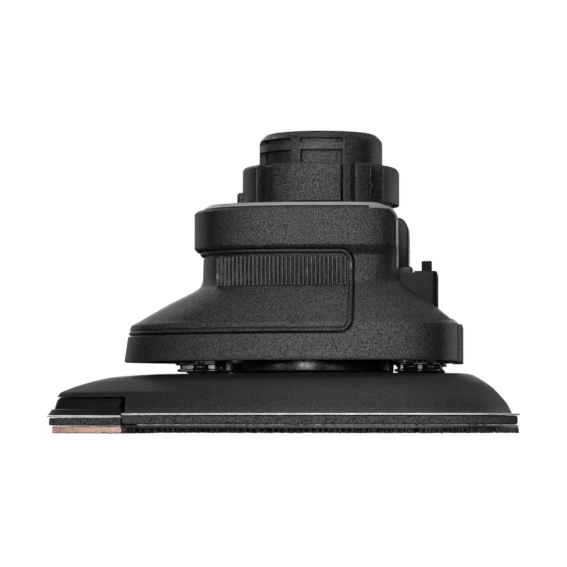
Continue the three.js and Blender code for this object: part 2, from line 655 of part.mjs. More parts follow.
// ---------------------------------------------------------------- rear fittings
const LATCH = { x0: 41.3, x1: 44.3, half: 1.9, top: 50.9, foot: 0.6, footZ: [43.3, 44.5] };

function dustOutlet() {
  const { x0, x1, half, z0, z1, wall, web } = OUTLET;
  const plan = new THREE.Shape();
  plan.moveTo(x0, -half);
  plan.lineTo(x1 - 1.1, -half);
  plan.lineTo(x1, -half + 1.4);
  plan.lineTo(x1, half - 1.4);
  plan.lineTo(x1 - 1.1, half);
  plan.lineTo(x0, half);
  let made = prism(plan, z0, z1);
  for (const s of [-1, 1]) {
    const y = [s * web, s * (half - wall)].sort((a, b) => a - b);
    made = made.subtract(box(x0 - 1, x1 + 1, y[0], y[1], z0 + wall, z1 - wall));
  }
  // the lower front corner is cut back to clear the fan
  made = made.subtract(cylinder(FAN.radius + 1.2, 20, 42));
  const { x0: a, x1: b, half: h, foot } = LATCH;
  made = made.subtract(box(a - 0.15, b + 0.15, -h - 0.15, h + 0.15, 43, 50));
  return made.subtract(box(a - foot - 0.15, b + foot + 0.15, -h - 0.7, h + 0.7, 37.5, 44.7));
}

function latchButton() {
  const { x0, x1, half, top, foot, footZ } = LATCH;
  const peg = prism(roundedRectangle(x0, x1, -half, half, 0.5), footZ[0], top, 2);
  return peg.add(box(x0 - foot, x1 + foot, -half - 0.4, half + 0.4, ...footZ));
}

class Coil extends THREE.Curve {
  constructor(radius, turns, z0, z1, x) {
    super();
    Object.assign(this, { radius, turns, z0, z1, x });
  }
  getPoint(t, target = new THREE.Vector3()) {
    const angle = 2 * Math.PI * this.turns * t;
    const z = this.z0 + (this.z1 - this.z0) * t;
    return target.set(this.x + this.radius * Math.cos(angle), this.radius * Math.sin(angle), z);
  }
}

function latchSpring() {
  const wire = 0.25;
  const section = new THREE.Shape();
  section.absarc(0, 0, wire, 0, 2 * Math.PI, false);
  const path = new Coil(1.3, 4, 37.9, LATCH.footZ[0] - 0.4, (LATCH.x0 + LATCH.x1) / 2);
  return solid(new THREE.ExtrudeGeometry(section, { steps: 36, curveSegments: 2, extrudePath: path }));
}

// A hooded cap over the shells' seam, above the dust outlet
function rearSpine() {
  const { x0, x1, half, z0, z1, wall } = SPINE;
  const hood = (inset) => {
    const shape = new THREE.Shape();
    const r = 4.2;
    shape.moveTo(x0 - inset, z0 - inset);
    shape.lineTo(x1 - inset, z0 - inset);
    shape.lineTo(x1 - inset, z1 - r);
    shape.absellipse(x1 - r * 0.7, z1 - r, r * 0.7 - inset, r - inset, 0, Math.PI / 2);
    shape.lineTo(x0 - inset, z1 - inset);
    return shape;
  };
  const outer = sidePrism(hood(0), -half, half);
  const inner = sidePrism(hood(wall), -half + wall, half - wall);
  const made = outer.subtract(inner.translate([-0.6, 0, 0]));
  return made.subtract(cylinder(FLANGE_R + GAP, FLANGE_Z0 - GAP, CAVITY_TOP));
}

// ---------------------------------------------------------------- materials
const material = (color, roughness, metalness = 0) =>
  new THREE.MeshStandardMaterial({ color, roughness, metalness });
const housingPlastic = material(0x2a2b2d, 0.55);
const coverPlastic = material(0x26272a, 0.6);
const platenPlastic = material(0x2c2d2f, 0.6);
const gloss = material(0x1b1c1d, 0.35);
const elastomer = material(0x1a1a1b, 0.8);
const foam = material(0x34363a, 0.95);
const hooks = material(0x18181a, 0.95);
const tipFelt = material(0xb08a7c, 0.95);
const laminate = material(0x9a9b9c, 0.5);
const steel = material(0xb4b6b8, 0.3, 1);
const zincSteel = material(0x8d9094, 0.4, 1);

// ---------------------------------------------------------------- assembly
const head = new THREE.Group();

function add(name, made, look) {
  const mesh = new THREE.Mesh(geometryOf(made), look);
  mesh.name = name;
  head.add(mesh);
}

// Housing
add("left_shell", shell(-1), housingPlastic);
add("right_shell", shell(1), housingPlastic);
add("nose_cover", noseCover(), coverPlastic);
add("quick_connect_collar", quickConnectCollar(), housingPlastic);
add("detent_spring_left", detentSpring(), steel);
add("detent_spring_right", mirrored(detentSpring()), steel);
add("rear_spine", rearSpine(), gloss);
add("dust_outlet", dustOutlet(), housingPlastic);
add("bearing_bridge", bearingBridge(), gloss);
add("base_plate", basePlate(), gloss);
add("fan_shroud", fanShroud(), gloss);
add("upper_bearing", bearing(SPINDLE_BEARING, UPPER_BEARING_Z), steel);
add("lower_bearing", bearing(SPINDLE_BEARING, LOWER_BEARING_Z), steel);
SCREW_SITES.forEach((site, i) => add(`case_screw_${i + 1}`, caseScrew(site), zincSteel));
BASE_SCREWS.forEach(({ x, y }, i) => {
  add(`base_screw_${2 * i + 1}`, baseScrew(x, -y), zincSteel);
  add(`base_screw_${2 * i + 2}`, baseScrew(x, y), zincSteel);
});
LEG_SITES.forEach((site) => {
  add(`${site.where}_left_leg`, mirrored(leg(site)), elastomer);
  add(`${site.where}_right_leg`, leg(site), elastomer);
});

// Spindle
add("drive_shaft", driveShaft(), steel);
add("drive_coupler", driveCoupler(), zincSteel);
add("cooling_fan", coolingFan(), gloss);
add("counterweight", counterweight(), zincSteel);
add("hub_bearing_inner_race", hubInnerRace(), steel);
add("hub_screw", hubScrew(), zincSteel);

// Platen
add("platen", platen(), platenPlastic);
add("hub_bearing_outer_race", hubOuterRace(), steel);
add("backing_sheet", backingSheet(), laminate);
add("foam_pad", foamPad(), foam);
add("hook_pad", hookPad(), hooks);

// Tip
add("tip_insert", tipInsert(), gloss);
add("tip_backing_sheet", tipSheet(), laminate);
add("tip_foam", tipFoam(), foam);
add("tip_pad", tipPad(), tipFelt);

// Latch
add("latch_button", latchButton(), gloss);
add("latch_spring", latchSpring(), steel);

export default head;
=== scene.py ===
"""Looks of a detail sanding head: finely modelled plastics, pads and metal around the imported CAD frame.

Shapes are worked out in millimetres and turned into metres when a mesh is made. The frame's
nodes give the places; the head's axes are the CAD's: -X is the pointed tip, +Z is up.
"""
import math

import bmesh
import bpy
import numpy as np
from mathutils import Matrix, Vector, noise


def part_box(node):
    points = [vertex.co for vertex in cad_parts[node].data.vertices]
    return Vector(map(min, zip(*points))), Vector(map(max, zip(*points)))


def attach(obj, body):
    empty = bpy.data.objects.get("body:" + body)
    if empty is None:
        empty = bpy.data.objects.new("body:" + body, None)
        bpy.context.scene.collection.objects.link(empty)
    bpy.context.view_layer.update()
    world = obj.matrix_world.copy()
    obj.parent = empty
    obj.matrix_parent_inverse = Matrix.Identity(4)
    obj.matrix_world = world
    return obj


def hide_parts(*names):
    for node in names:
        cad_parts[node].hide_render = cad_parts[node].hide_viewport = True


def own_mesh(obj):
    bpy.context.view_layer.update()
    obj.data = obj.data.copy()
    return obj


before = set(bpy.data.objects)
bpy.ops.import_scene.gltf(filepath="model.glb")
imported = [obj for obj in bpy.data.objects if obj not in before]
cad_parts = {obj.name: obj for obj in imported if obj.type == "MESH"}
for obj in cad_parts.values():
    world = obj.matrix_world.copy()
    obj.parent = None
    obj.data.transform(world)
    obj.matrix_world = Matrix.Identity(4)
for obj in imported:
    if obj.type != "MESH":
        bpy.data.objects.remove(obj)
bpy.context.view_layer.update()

MM = 0.001
FAR = 120.0  # reaches past the whole head
rng = np.random.default_rng(7)


def reach(node, axis):
    """Lowest and highest place of a CAD node along an axis, in millimetres"""
    low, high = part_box(node)
    return low[axis] / MM, high[axis] / MM


def centre_of(node, axis):
    return sum(reach(node, axis)) / 2


# ---------------- places taken from the frame
SKIRT_BOTTOM, BODY_TOP = reach("left_shell", 2)
COVER_LOW, COVER_HIGH = reach("nose_cover", 2)
COVER_END = reach("nose_cover", 0)[1]
PAD_REAR = reach("backing_sheet", 0)[1]
PAD_HALF = reach("backing_sheet", 1)[1]
TIP_FRONT, TIP_SPLIT = reach("tip_backing_sheet", 0)
COLLAR_BASE, SPIGOT_TOP = BODY_TOP + 0.3, reach("quick_connect_collar", 2)[1]
COLLAR_TOP = 78.5
AXIS_X = centre_of("drive_coupler", 0)
HUB_X = centre_of("hub_bearing_outer_race", 0)
OUTLET_X0, OUTLET_X1 = reach("dust_outlet", 0)
OUTLET_Z0, OUTLET_Z1 = reach("dust_outlet", 2)
OUTLET_HALF = reach("dust_outlet", 1)[1]
SPINE_X0, SPINE_X1 = reach("rear_spine", 0)
SPINE_Z0, SPINE_Z1 = reach("rear_spine", 2)
SPINE_HALF = reach("rear_spine", 1)[1]
LATCH_X0, LATCH_X1 = reach("latch_button", 0)
LATCH_Z0, LATCH_TOP = reach("latch_button", 2)
LATCH_HALF = 1.9
SHROUD_X = centre_of("fan_shroud", 0)
CASE_SCREW_NODES = [f"case_screw_{i}" for i in (1, 2, 3)]
# middle in side view, then where the screw starts and ends along Y
CASE_SCREWS = [(centre_of(node, 0), centre_of(node, 2), *reach(node, 1)) for node in CASE_SCREW_NODES]
BASE_SCREW_NODES = [f"base_screw_{i}" for i in (1, 2, 3, 4)]
BASE_SCREWS = [(centre_of(node, 0), centre_of(node, 1)) for node in BASE_SCREW_NODES]
GAP = 0.3  # between neighbours that don't touch


# ---------------- numbers along a line
def graded(*stops):
    """Places from stop to stop; each stop is (place, spacing up to the next one)"""
    places = []
    for (here, spacing), (there, _) in zip(stops[:-1], stops[1:]):
        count = max(1, int(round(abs(there - here) / spacing)))
        places.extend(np.linspace(here, there, count, endpoint=False))
    places.append(stops[-1][0])
    return np.array(places)


def eased(points, reaches, steps=5):
    """A polyline whose inner corners are eased, each starting reach before the corner"""
    points = [np.asarray(p, float) for p in points]
    path = [points[0]]
    for before, here, after, r in zip(points[:-2], points[1:-1], points[2:], reaches[1:-1]):
        to_before, to_after = before - here, after - here
        long_before, long_after = np.linalg.norm(to_before), np.linalg.norm(to_after)
        cut = min(r, long_before * 0.5, long_after * 0.5)
        if cut < 1e-6:
            path.append(here)
            continue
        start = here + to_before * (cut / long_before)
        end = here + to_after * (cut / long_after)
        for t in np.linspace(0, 1, steps):
            path.append((1 - t) ** 2 * start + 2 * t * (1 - t) * here + t * t * end)
    path.append(points[-1])
    return np.array(path)


def edge_drop(distance, radius):
    """How far a rounded edge falls away, this far in from it"""
    inside = np.clip(distance, 0, radius)
    return radius - np.sqrt(np.maximum(radius**2 - (radius - inside) ** 2, 0))


def bump(distance, half_width):
    """A half-round ridge's height share, from 1 on its middle line to 0 at its foot"""
    return np.sqrt(np.clip(1 - (distance / half_width) ** 2, 0, 1))


# ---------------- meshes
def grid_faces(rows, cols, close_rows=False, close_cols=False):
    """Four-sided faces between the points of a grid; a closed direction joins its last to its first"""
    r, c = np.meshgrid(
        np.arange(rows if close_rows else rows - 1),
        np.arange(cols if close_cols else cols - 1),
        indexing="ij",
    )
    r1, c1 = (r + 1) % rows, (c + 1) % cols
    return np.stack([r * cols + c, r * cols + c1, r1 * cols + c1, r1 * cols + c], -1).reshape(-1, 4).tolist()


def placed(part, mirror_y=False):
    """The part as it is, or on the other side of the middle plane"""
    points = np.array(part[0], float).reshape(-1, 3)
    return (points * [1, -1, 1] if mirror_y else points), part[1]


def new_object(name, data):
    made = bpy.data.objects.new(name, data)
    bpy.context.scene.collection.objects.link(made)
    return made


def mesh_object(name, part, weld=0.002):
    """An object from points in millimetres, welded, with its normals facing out"""
    points, faces = part
    mesh = bpy.data.meshes.new(name)
    mesh.from_pydata((np.asarray(points).reshape(-1, 3) * MM).tolist(), [], faces)
    work = bmesh.new()
    work.from_mesh(mesh)
    bmesh.ops.remove_doubles(work, verts=work.verts, dist=weld * MM)
    bmesh.ops.dissolve_degenerate(work, edges=work.edges, dist=weld * MM * 0.5)
    bmesh.ops.recalc_face_normals(work, faces=work.faces)
    work.to_mesh(mesh)
    work.free()
    return new_object(name, mesh)


def applied(piece):
    """The piece with its modifiers turned into mesh"""
    bpy.context.view_layer.update()
    graph = bpy.context.evaluated_depsgraph_get()
    mesh = bpy.data.meshes.new_from_object(piece.evaluated_get(graph))
    piece.modifiers.clear()
    piece.data = mesh
    return piece


def combine(piece, bodies, operation):
    """Adds closed bodies to the piece, cuts them out of it, or keeps only what it shares with them"""
    tools = [body if isinstance(body, bpy.types.Object) else mesh_object("tool", body) for body in bodies]
    for tool in tools:
        cut = piece.modifiers.new("cut", "BOOLEAN")
        cut.operation = operation
        cut.solver = "MANIFOLD"
        cut.object = tool
    applied(piece)
    for tool in tools:
        bpy.data.objects.remove(tool)
    return piece


def carve(piece, *bodies):
    return combine(piece, bodies, "DIFFERENCE")


def weld_on(piece, *bodies):
    return combine(piece, bodies, "UNION")


def finished(piece, look, body, nodes=(), sharp=38):
    """Shades the piece, gives it its material and hands it to the frame"""
    piece.data.shade_smooth()
    piece.data.set_sharp_from_angle(angle=math.radians(sharp))
    piece.data.materials.clear()
    piece.data.materials.append(look)
    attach(piece, body)
    if nodes:
        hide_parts(*nodes)
    return piece


# ---------------- bodies
def swept(sections):
    """A closed body from closed sections: sections[row, column], a ring per column, ends capped"""
    rows, cols = sections.shape[:2]
    faces = grid_faces(rows, cols, close_rows=True)
    faces.append([r * cols for r in range(rows)])
    faces.append([r * cols + cols - 1 for r in reversed(range(rows))])
    return sections.reshape(-1, 3), faces


def stacked(rings):
    """A closed body from closed outlines: rings[level, point], with flat ends"""
    rows, cols = rings.shape[:2]
    faces = grid_faces(rows, cols, close_cols=True)
    faces.append(list(range(cols)))
    faces.append([(rows - 1) * cols + c for c in reversed(range(cols))])
    return rings.reshape(-1, 3), faces


def turned_rings(profile, x, y, sides):
    profile = np.asarray(profile, float)
    angle = np.linspace(0, 2 * np.pi, sides, endpoint=False)
    rings = np.empty((len(profile), sides, 3))
    rings[..., 0] = x + profile[:, :1] * np.cos(angle)
    rings[..., 1] = y + profile[:, :1] * np.sin(angle)
    rings[..., 2] = profile[:, 1:]
    return rings


def turned(profile, x=0.0, y=0.0, sides=96):
    """A body turned about a vertical axis from a closed outline of (radius, height)"""
    rings = turned_rings(profile, x, y, sides)
    return rings.reshape(-1, 3), grid_faces(len(profile), sides, close_rows=True, close_cols=True)


def ring_profile(inner, outer, z0, z1, radius=0.3):
    """A ring's section with eased corners, for turned()"""
    return closed_eased([(inner, z0), (outer, z0), (outer, z1), (inner, z1)], radius)


def closed_eased(corners, radius, steps=5):
    """A closed outline with every corner eased; radius is one number or one for each corner"""
    count = len(corners)
    radii = [radius] * count if np.isscalar(radius) else list(radius)
    out = []
    for i in range(count):
        piece = eased([corners[i - 1], corners[i], corners[(i + 1) % count]], [0, radii[i], 0], steps)
        out.extend(piece[1:-1])
    return np.array(out)


def turned_solid(profile, x=0.0, y=0.0, sides=64):
    """A body turned from an open (radius, height) outline that starts and ends on the axis"""
    return stacked(turned_rings(profile, x, y, sides)[1:-1])


def rod(radius, z0, z1, x, y=0.0, sides=48):
    return turned_solid([(0, z0), (radius, z0), (radius, z1), (0, z1)], x, y, sides)


def sideways(part, x=0.0, z=0.0):
    """An upright part laid along Y, at a place in side view"""
    points, faces = part
    return np.column_stack([x + points[:, 0], points[:, 2], z + points[:, 1]]), faces


def cross_rod(radius, y0, y1, x, z, sides=40):
    return sideways(rod(radius, y0, y1, 0, 0, sides), x, z)


def shrunk(plan, inset):
    """A closed anticlockwise plan moved inwards along its normals"""
    along = np.roll(plan, -1, 0) - np.roll(plan, 1, 0)
    along /= np.linalg.norm(along, axis=1, keepdims=True)
    return plan + np.stack([-along[:, 1], along[:, 0]], 1) * inset


def lifted(plan, z):
    """A plan's points at one height"""
    return np.column_stack([plan, np.full(len(plan), z)])


def slab(plan, z0, z1, edge=0.3, steps=4):
    """A flat body over a plan, with rounded rims"""
    turn = np.linspace(0, np.pi / 2, steps + 1)
    low = [(z0 + edge * (1 - math.sin(t)), edge * (1 - math.cos(t))) for t in turn[::-1]]
    high = [(z1 - edge * (1 - math.sin(t)), edge * (1 - math.cos(t))) for t in turn]
    return stacked(np.array([lifted(shrunk(plan, inset), z) for z, inset in low + high]))


def round_rectangle(x0, x1, y0, y1, radius, steps=6):
    plan = []
    for cx, cy, first in ((x1, y0, -90), (x1, y1, 0), (x0, y1, 90), (x0, y0, 180)):
        sx, sy = (-1 if cx == x1 else 1), (-1 if cy == y1 else 1)
        for t in np.radians(np.linspace(first, first + 90, steps + 1)):
            plan.append((cx + sx * radius + radius * math.cos(t), cy + sy * radius + radius * math.sin(t)))
    return np.array(plan)


def block(low, high, radius, cuts=(1, 1, 1), steps=3):
    """A box with rounded edges, on a lattice that can be bent afterwards"""
    low, high = np.array(low, float), np.array(high, float)
    lean = radius * np.tan(np.linspace(0, np.pi / 4, steps + 1))
    axes = []
    for a in range(3):
        inner = np.linspace(low[a] + radius, high[a] - radius, cuts[a] + 1)
        axes.append(np.concatenate([inner[0] - lean[:0:-1], inner, inner[-1] + lean[1:]]))
    ids, points, faces = {}, [], []

    def corner(key):
        if key not in ids:
            place = np.array([axes[a][key[a]] for a in range(3)])
            core = np.clip(place, low + radius, high - radius)
            out = place - core
            ids[key] = len(points)
            points.append(core + out * (radius / max(np.linalg.norm(out), 1e-9)))
        return ids[key]

    for axis in range(3):
        u, v = [a for a in range(3) if a != axis]
        for end in (0, len(axes[axis]) - 1):
            for i in range(len(axes[u]) - 1):
                for j in range(len(axes[v]) - 1):
                    quad = []
                    for di, dj in ((0, 0), (1, 0), (1, 1), (0, 1)):
                        key = [0, 0, 0]
                        key[axis], key[u], key[v] = end, i + di, j + dj
                        quad.append(corner(tuple(key)))
                    faces.append(quad)
    return np.array(points), faces


def bar(x0, x1, y0, y1, z0, z1, radius=0.25):
    return block((x0, y0, z0), (x1, y1, z1), radius, steps=2)


def sector(start, end, inner, outer, z0, z1, radius=0.4):
    """A block bent about the spindle axis; angles are degrees from -Y towards +X"""
    arc = math.radians(end - start) * outer
    cuts = (max(2, int(arc / 1.2)), 1, 1)
    points, faces = block((0, inner, z0), (arc, outer, z1), radius, cuts)
    angle = math.radians(start) + points[:, 0] / outer
    bent = [AXIS_X + points[:, 1] * np.sin(angle), -points[:, 1] * np.cos(angle), points[:, 2]]
    return np.column_stack(bent), faces


def turned_half_round(part):
    """The same part, half a turn round the spindle axis"""
    points = np.array(part[0]) * [-1, -1, 1] + [2 * AXIS_X, 0, 0]
    return points, part[1]


def strands(roots, tips, bends, radius, sides=4, steps=4):
    """Closed hairs from roots to tips, bowed out by bends; all three are (count, 3)"""
    count = len(roots)
    t = np.linspace(0, 1, steps + 1)[None, :, None]
    spine = roots[:, None] * (1 - t) + tips[:, None] * t + bends[:, None] * 4 * t * (1 - t)
    along = np.gradient(spine, axis=1)
    along /= np.maximum(np.linalg.norm(along, axis=2, keepdims=True), 1e-9)
    aside = np.cross(along, np.array([0.31, 0.87, 0.38]))
    aside /= np.maximum(np.linalg.norm(aside, axis=2, keepdims=True), 1e-9)
    across = np.cross(along, aside)
    thick = np.asarray(radius, float) * np.array([1.0] * steps + [0.55])
    angle = np.linspace(0, 2 * np.pi, sides, endpoint=False)
    ring = spine[:, :, None] + thick[None, :, None, None] * (
        aside[:, :, None] * np.cos(angle)[None, None, :, None]
        + across[:, :, None] * np.sin(angle)[None, None, :, None]
    )
    one = grid_faces(steps + 1, sides, close_cols=True)
    one.append(list(range(sides)))
    one.append([steps * sides + c for c in reversed(range(sides))])
    size = (steps + 1) * sides
    faces = [[i + k * size for i in quad] for k in range(count) for quad in one]
    return ring.reshape(-1, 3), faces


# ---------------- egg-shaped plans
# belly, fullness and reach of the nose, reach and fullness of the tail
IRON = np.array([0.66, 0.12, 0.45, 0.62, 0.8])
SKIRT = np.array([0.64, 0.5, 0.5, 0.66, 0.84])
WAIST = np.array([0.52, 0.68, 0.62, 0.82, 0.92])


def cubic(a, b, c, d, t):
    """A Bezier curve's place at t"""
    return (1 - t) ** 3 * a + 3 * t * (1 - t) ** 2 * b + 3 * t * t * (1 - t) * c + t**3 * d


def egg(front, rear, half, family, s, inset=0.0):
    """Near half of a plan from the nose, s = 0, by the widest place, 0.5, to the tail, 1"""
    belly, nose_full, nose_reach, tail_reach, tail_full = np.moveaxis(np.asarray(family), -1, 0)
    nose, tail, side = front + inset, rear - inset, half - inset
    widest = front + (rear - front) * belly
    a, b = np.clip(2 * s, 0, 1), np.clip(2 * s - 1, 0, 1)
    x_nose = cubic(nose, nose, widest - (widest - nose) * nose_reach, widest, a)
    y_nose = cubic(0, -side * nose_full, -side, -side, a)
    x_tail = cubic(widest, widest + (tail - widest) * tail_reach, tail, tail, b)
    y_tail = cubic(-side, -side, -side * tail_full, 0, b)
    return np.where(s <= 0.5, x_nose, x_tail), np.where(s <= 0.5, y_nose, y_tail)


def egg_plan(front, rear, half, family, inset=0.0, count=120):
    """The whole closed plan, anticlockwise from the nose"""
    s = (1 - np.cos(np.linspace(0, np.pi, count + 1))) / 2
    x, y = egg(front, rear, half, family, s, inset)
    near = np.column_stack([x, y])
    return np.concatenate([near, (near[1:-1] * [1, -1])[::-1]])


# ---------------- materials
class Look:
    """A node material under construction"""

    def __init__(self, name, **shader):
        self.material = bpy.data.materials.new(name)
        self.material.use_nodes = True
        self.tree = self.material.node_tree
        self.shader = self.tree.nodes["Principled BSDF"]
        for socket, value in shader.items():
            self.shader.inputs[socket.replace("_", " ")].default_value = value
        self.place = self.node("ShaderNodeTexCoord").outputs["Object"]

    def node(self, kind, inputs=None, **settings):
        made = self.tree.nodes.new(kind)
        for key, value in settings.items():
            setattr(made, key, value)
        for key, value in (inputs or {}).items():
            self.feed(made.inputs[key], value)
        return made

    def feed(self, socket, value):
        """Links an output to a socket, or sets the socket to a constant"""
        if isinstance(value, bpy.types.NodeSocket):
            self.tree.links.new(value, socket)
        else:
            socket.default_value = value

    def noise(self, size, detail=2.0, roughness=0.5, stretch=None):
        """Noise whose features are about this many millimetres across"""
        place = self.place
        if stretch:
            place = self.node("ShaderNodeMapping", {"Vector": place, "Scale": stretch}).outputs[0]
        made = self.node(
            "ShaderNodeTexNoise",
            {"Vector": place, "Scale": 1 / (size * MM), "Detail": detail, "Roughness": roughness},
        )
        return made.outputs["Fac"]

    def cells(self, size):
        made = self.node("ShaderNodeTexVoronoi", {"Vector": self.place, "Scale": 1 / (size * MM)})
        return made.outputs["Distance"]

    def ramp(self, source, *stops):
        """A colour ramp; each stop is (place, colour)"""
        made = self.node("ShaderNodeValToRGB", {"Fac": source})
        elements = made.color_ramp.elements
        while len(elements) < len(stops):
            elements.new(0.5)
        for element, (place, colour) in zip(elements, stops):
            element.position = place
            element.color = (*colour, 1)
        return made.outputs["Color"]

    def blend(self, a, b, fac, mode="MIX"):
        """Colour a turning into colour b by fac, or the two blended in another mode"""
        a, b = ((*colour, 1) if isinstance(colour, tuple) else colour for colour in (a, b))
        made = self.node("ShaderNodeMix", data_type="RGBA", blend_type=mode)
        for index, value in ((0, fac), (6, a), (7, b)):
            self.feed(made.inputs[index], value)
        return made.outputs[2]

    def scaled(self, source, low, high, from_low=0.3, from_high=0.7):
        """Low to high as the source goes from from_low to from_high"""
        made = self.node(
            "ShaderNodeMapRange",
            {"Value": source, "From Min": from_low, "From Max": from_high, "To Min": low, "To Max": high},
        )
        return made.outputs["Result"]

    def added(self, a, b):
        return self.node("ShaderNodeMath", {0: a, 1: b}, operation="ADD").outputs[0]

    def times(self, a, b):
        return self.node("ShaderNodeMath", {0: a, 1: b}, operation="MULTIPLY").outputs[0]

    def set(self, socket, source):
        self.feed(self.shader.inputs[socket], source)

    def emboss(self, height, depth):
        """A bump of this many millimetres"""
        self.set("Normal", self.node("ShaderNodeBump", {"Height": height, "Distance": depth * MM}).outputs["Normal"])


def grey(value, tint=0.0):
    """A grey, a little bluer with tint"""
    return (value * (1 - tint), value, value * (1 + tint))


HOLLOW = (0.40, 0.485)  # pointiness from the bottom of a groove to level; grooves get painted shade and less shine
CORNER = (0.52, 0.6)  # pointiness from nearly level to an edge


def moulded(name, tone, roughness, size=0.36, depth=0.05, speck=0.45, shine=0.5, wear_and_highlight=0.03, band=None, worn_and_lit_heights=None):
    """Spark-eroded black plastic: the grain's tops shine and its pits stay dark; grooves are darkened with painted
    shade, and edges get a lighter tone standing for rubbing and a painted highlight
    """
    look = Look(name, IOR=1.5, Specular_IOR_Level=shine)
    coarse, fine = look.noise(size, 1.0, 0.5), look.noise(size * 0.45, 1.0, 0.5)
    grain = look.added(look.scaled(coarse, 0, 0.6, 0.36, 0.64), look.scaled(fine, 0, 0.4, 0.34, 0.66))
    drift = look.noise(14.0, 2.0)
    base = look.ramp(grain, (0.25, grey(tone * (1 - speck), 0.01)), (0.75, grey(tone * (1 + speck), 0.01)))
    base = look.blend(base, look.ramp(drift, (0.35, (0.84,) * 3), (0.65, (1.12,) * 3)), 1.0, "MULTIPLY")
    edges = look.node("ShaderNodeNewGeometry").outputs["Pointiness"]
    # concave places are darkened towards black: painted shade in grooves and creases
    hollow = look.scaled(edges, 1, 0, *HOLLOW)
    # convex edges turn lighter: partly rubbing, partly painted highlight
    rubbed_and_lit = look.times(look.scaled(edges, 0, 1, *CORNER), look.scaled(fine, 0.4, 1.0))
    height = look.node("ShaderNodeSeparateXYZ", {0: look.place}).outputs["Z"]
    if worn_and_lit_heights:
        # only what lies between these heights gets the lighter edge tone: rubbing and painted highlight
        low, high = worn_and_lit_heights
        rubbed_and_lit = look.times(rubbed_and_lit, look.scaled(height, 0, 1, (low - 0.1) * MM, low * MM))
        rubbed_and_lit = look.times(rubbed_and_lit, look.scaled(height, 1, 0, high * MM, (high + 0.1) * MM))
    base = look.blend(look.blend(base, grey(0.002), hollow), grey(tone + wear_and_highlight), rubbed_and_lit)
    shine_now = look.scaled(grain, shine * (1 - speck), shine * (1 + speck), 0.2, 0.8)
    shine_now = look.times(shine_now, look.scaled(edges, 0.1, 1, *HOLLOW))
    rough = look.scaled(rubbed_and_lit, roughness, roughness - 0.16, 0, 1)
    if band:
        # the bevel round the body's top is smoother, and its lighter grey is a painted highlight
        bevel = look.scaled(height, 0, 1, (band - 0.05) * MM, (band + 0.05) * MM)
        flat = look.scaled(height, 1, 0, (BODY_TOP - 0.12) * MM, (BODY_TOP - 0.05) * MM)
        bevel = look.times(bevel, flat)
        base = look.blend(base, grey(0.24), bevel)
        rough = look.added(rough, look.scaled(bevel, 0, -0.14, 0, 1))
    look.set("Base Color", base)
    look.set("Specular IOR Level", shine_now)
    look.set("Roughness", rough)
    look.emboss(grain, depth)
    return look.material


def satin(name, tone, roughness, depth=0.008, gloss=0.5):
    """Smooth moulded plastic with flow streaks and small scuffs"""
    look = Look(name, IOR=1.5, Specular_IOR_Level=gloss)
    streaks = look.noise(3.0, 4.0, 0.6, (0.25, 1, 1))
    dust = look.noise(0.35, 2.0)
    base = look.ramp(streaks, (0.3, grey(tone * 0.75)), (0.7, grey(tone * 1.3)))
    look.set("Base Color", look.blend(base, grey(tone * 2.2), look.scaled(dust, 0, 0.35, 0.62, 0.75)))
    look.set("Roughness", look.scaled(look.noise(1.2, 3.0), roughness - 0.07, roughness + 0.12))
    look.emboss(look.added(streaks, dust), depth)
    return look.material


def steel(name, tone, roughness, brushed=(1, 1, 14)):
    """Machined or plated steel with fine tool marks"""
    look = Look(name, Metallic=1.0)
    marks = look.noise(1.6, 3.0, 0.6, brushed)
    stain = look.noise(4.0, 3.0)
    look.set("Base Color", look.ramp(stain, (0.3, grey(tone * 0.72, 0.015)), (0.7, grey(tone, 0.01))))
    look.set("Roughness", look.scaled(marks, roughness - 0.08, roughness + 0.14))
    look.emboss(marks, 0.012)
    return look.material


def foam_look():
    look = Look("pad_foam", Roughness=0.95, IOR=1.35)
    cells = look.cells(0.62)
    specks = look.noise(0.5, 3.0, 0.7)
    mixed = look.added(cells, specks)
    look.set("Base Color", look.ramp(mixed, (0.55, grey(0.002)), (0.8, grey(0.012)), (1.0, grey(0.07))))
    look.emboss(mixed, 0.22)
    return look.material


def hook_look():
    look = Look("hook_fabric", Roughness=0.5, IOR=1.5)
    tone = look.noise(0.8, 2.0, 0.6)
    look.set("Base Color", look.ramp(tone, (0.35, grey(0.006)), (0.55, grey(0.02)), (0.75, grey(0.075))))
    look.emboss(tone, 0.03)
    return look.material


def felt_look():
    look = Look("tip_felt", Roughness=0.9, Sheen_Weight=0.5, Sheen_Roughness=0.4, Sheen_Tint=(1.0, 0.86, 0.8, 1))
    fibres = look.noise(0.5, 4.0, 0.7, (1, 1, 0.5))
    patches = look.noise(3.0, 2.0)
    base = look.ramp(fibres, (0.3, (0.66, 0.43, 0.37)), (0.55, (0.9, 0.63, 0.55)), (0.8, (1.0, 0.78, 0.71)))
    look.set("Base Color", look.blend(base, (0.8, 0.55, 0.48), look.scaled(patches, 0, 0.25)))
    look.emboss(fibres, 0.12)
    return look.material


def laminate_look():
    look = Look("backing_laminate", IOR=1.5)
    weave = look.noise(0.7, 2.0, 0.6)
    wide = look.noise(6.0, 2.0)
    base = look.ramp(weave, (0.35, grey(0.55)), (0.65, grey(0.9)))
    look.set("Base Color", look.blend(base, grey(0.3), look.scaled(wide, 0, 0.6)))
    look.set("Roughness", look.scaled(weave, 0.4, 0.6))
    look.emboss(weave, 0.02)
    return look.material


BEVEL_HIGHLIGHT_Z = 65.68  # the painted highlight on the body's top bevel starts here
RIB_REGION = (42.2, 51.5)  # the grip's ribs lie within these heights, and so does the painted highlight on their tops
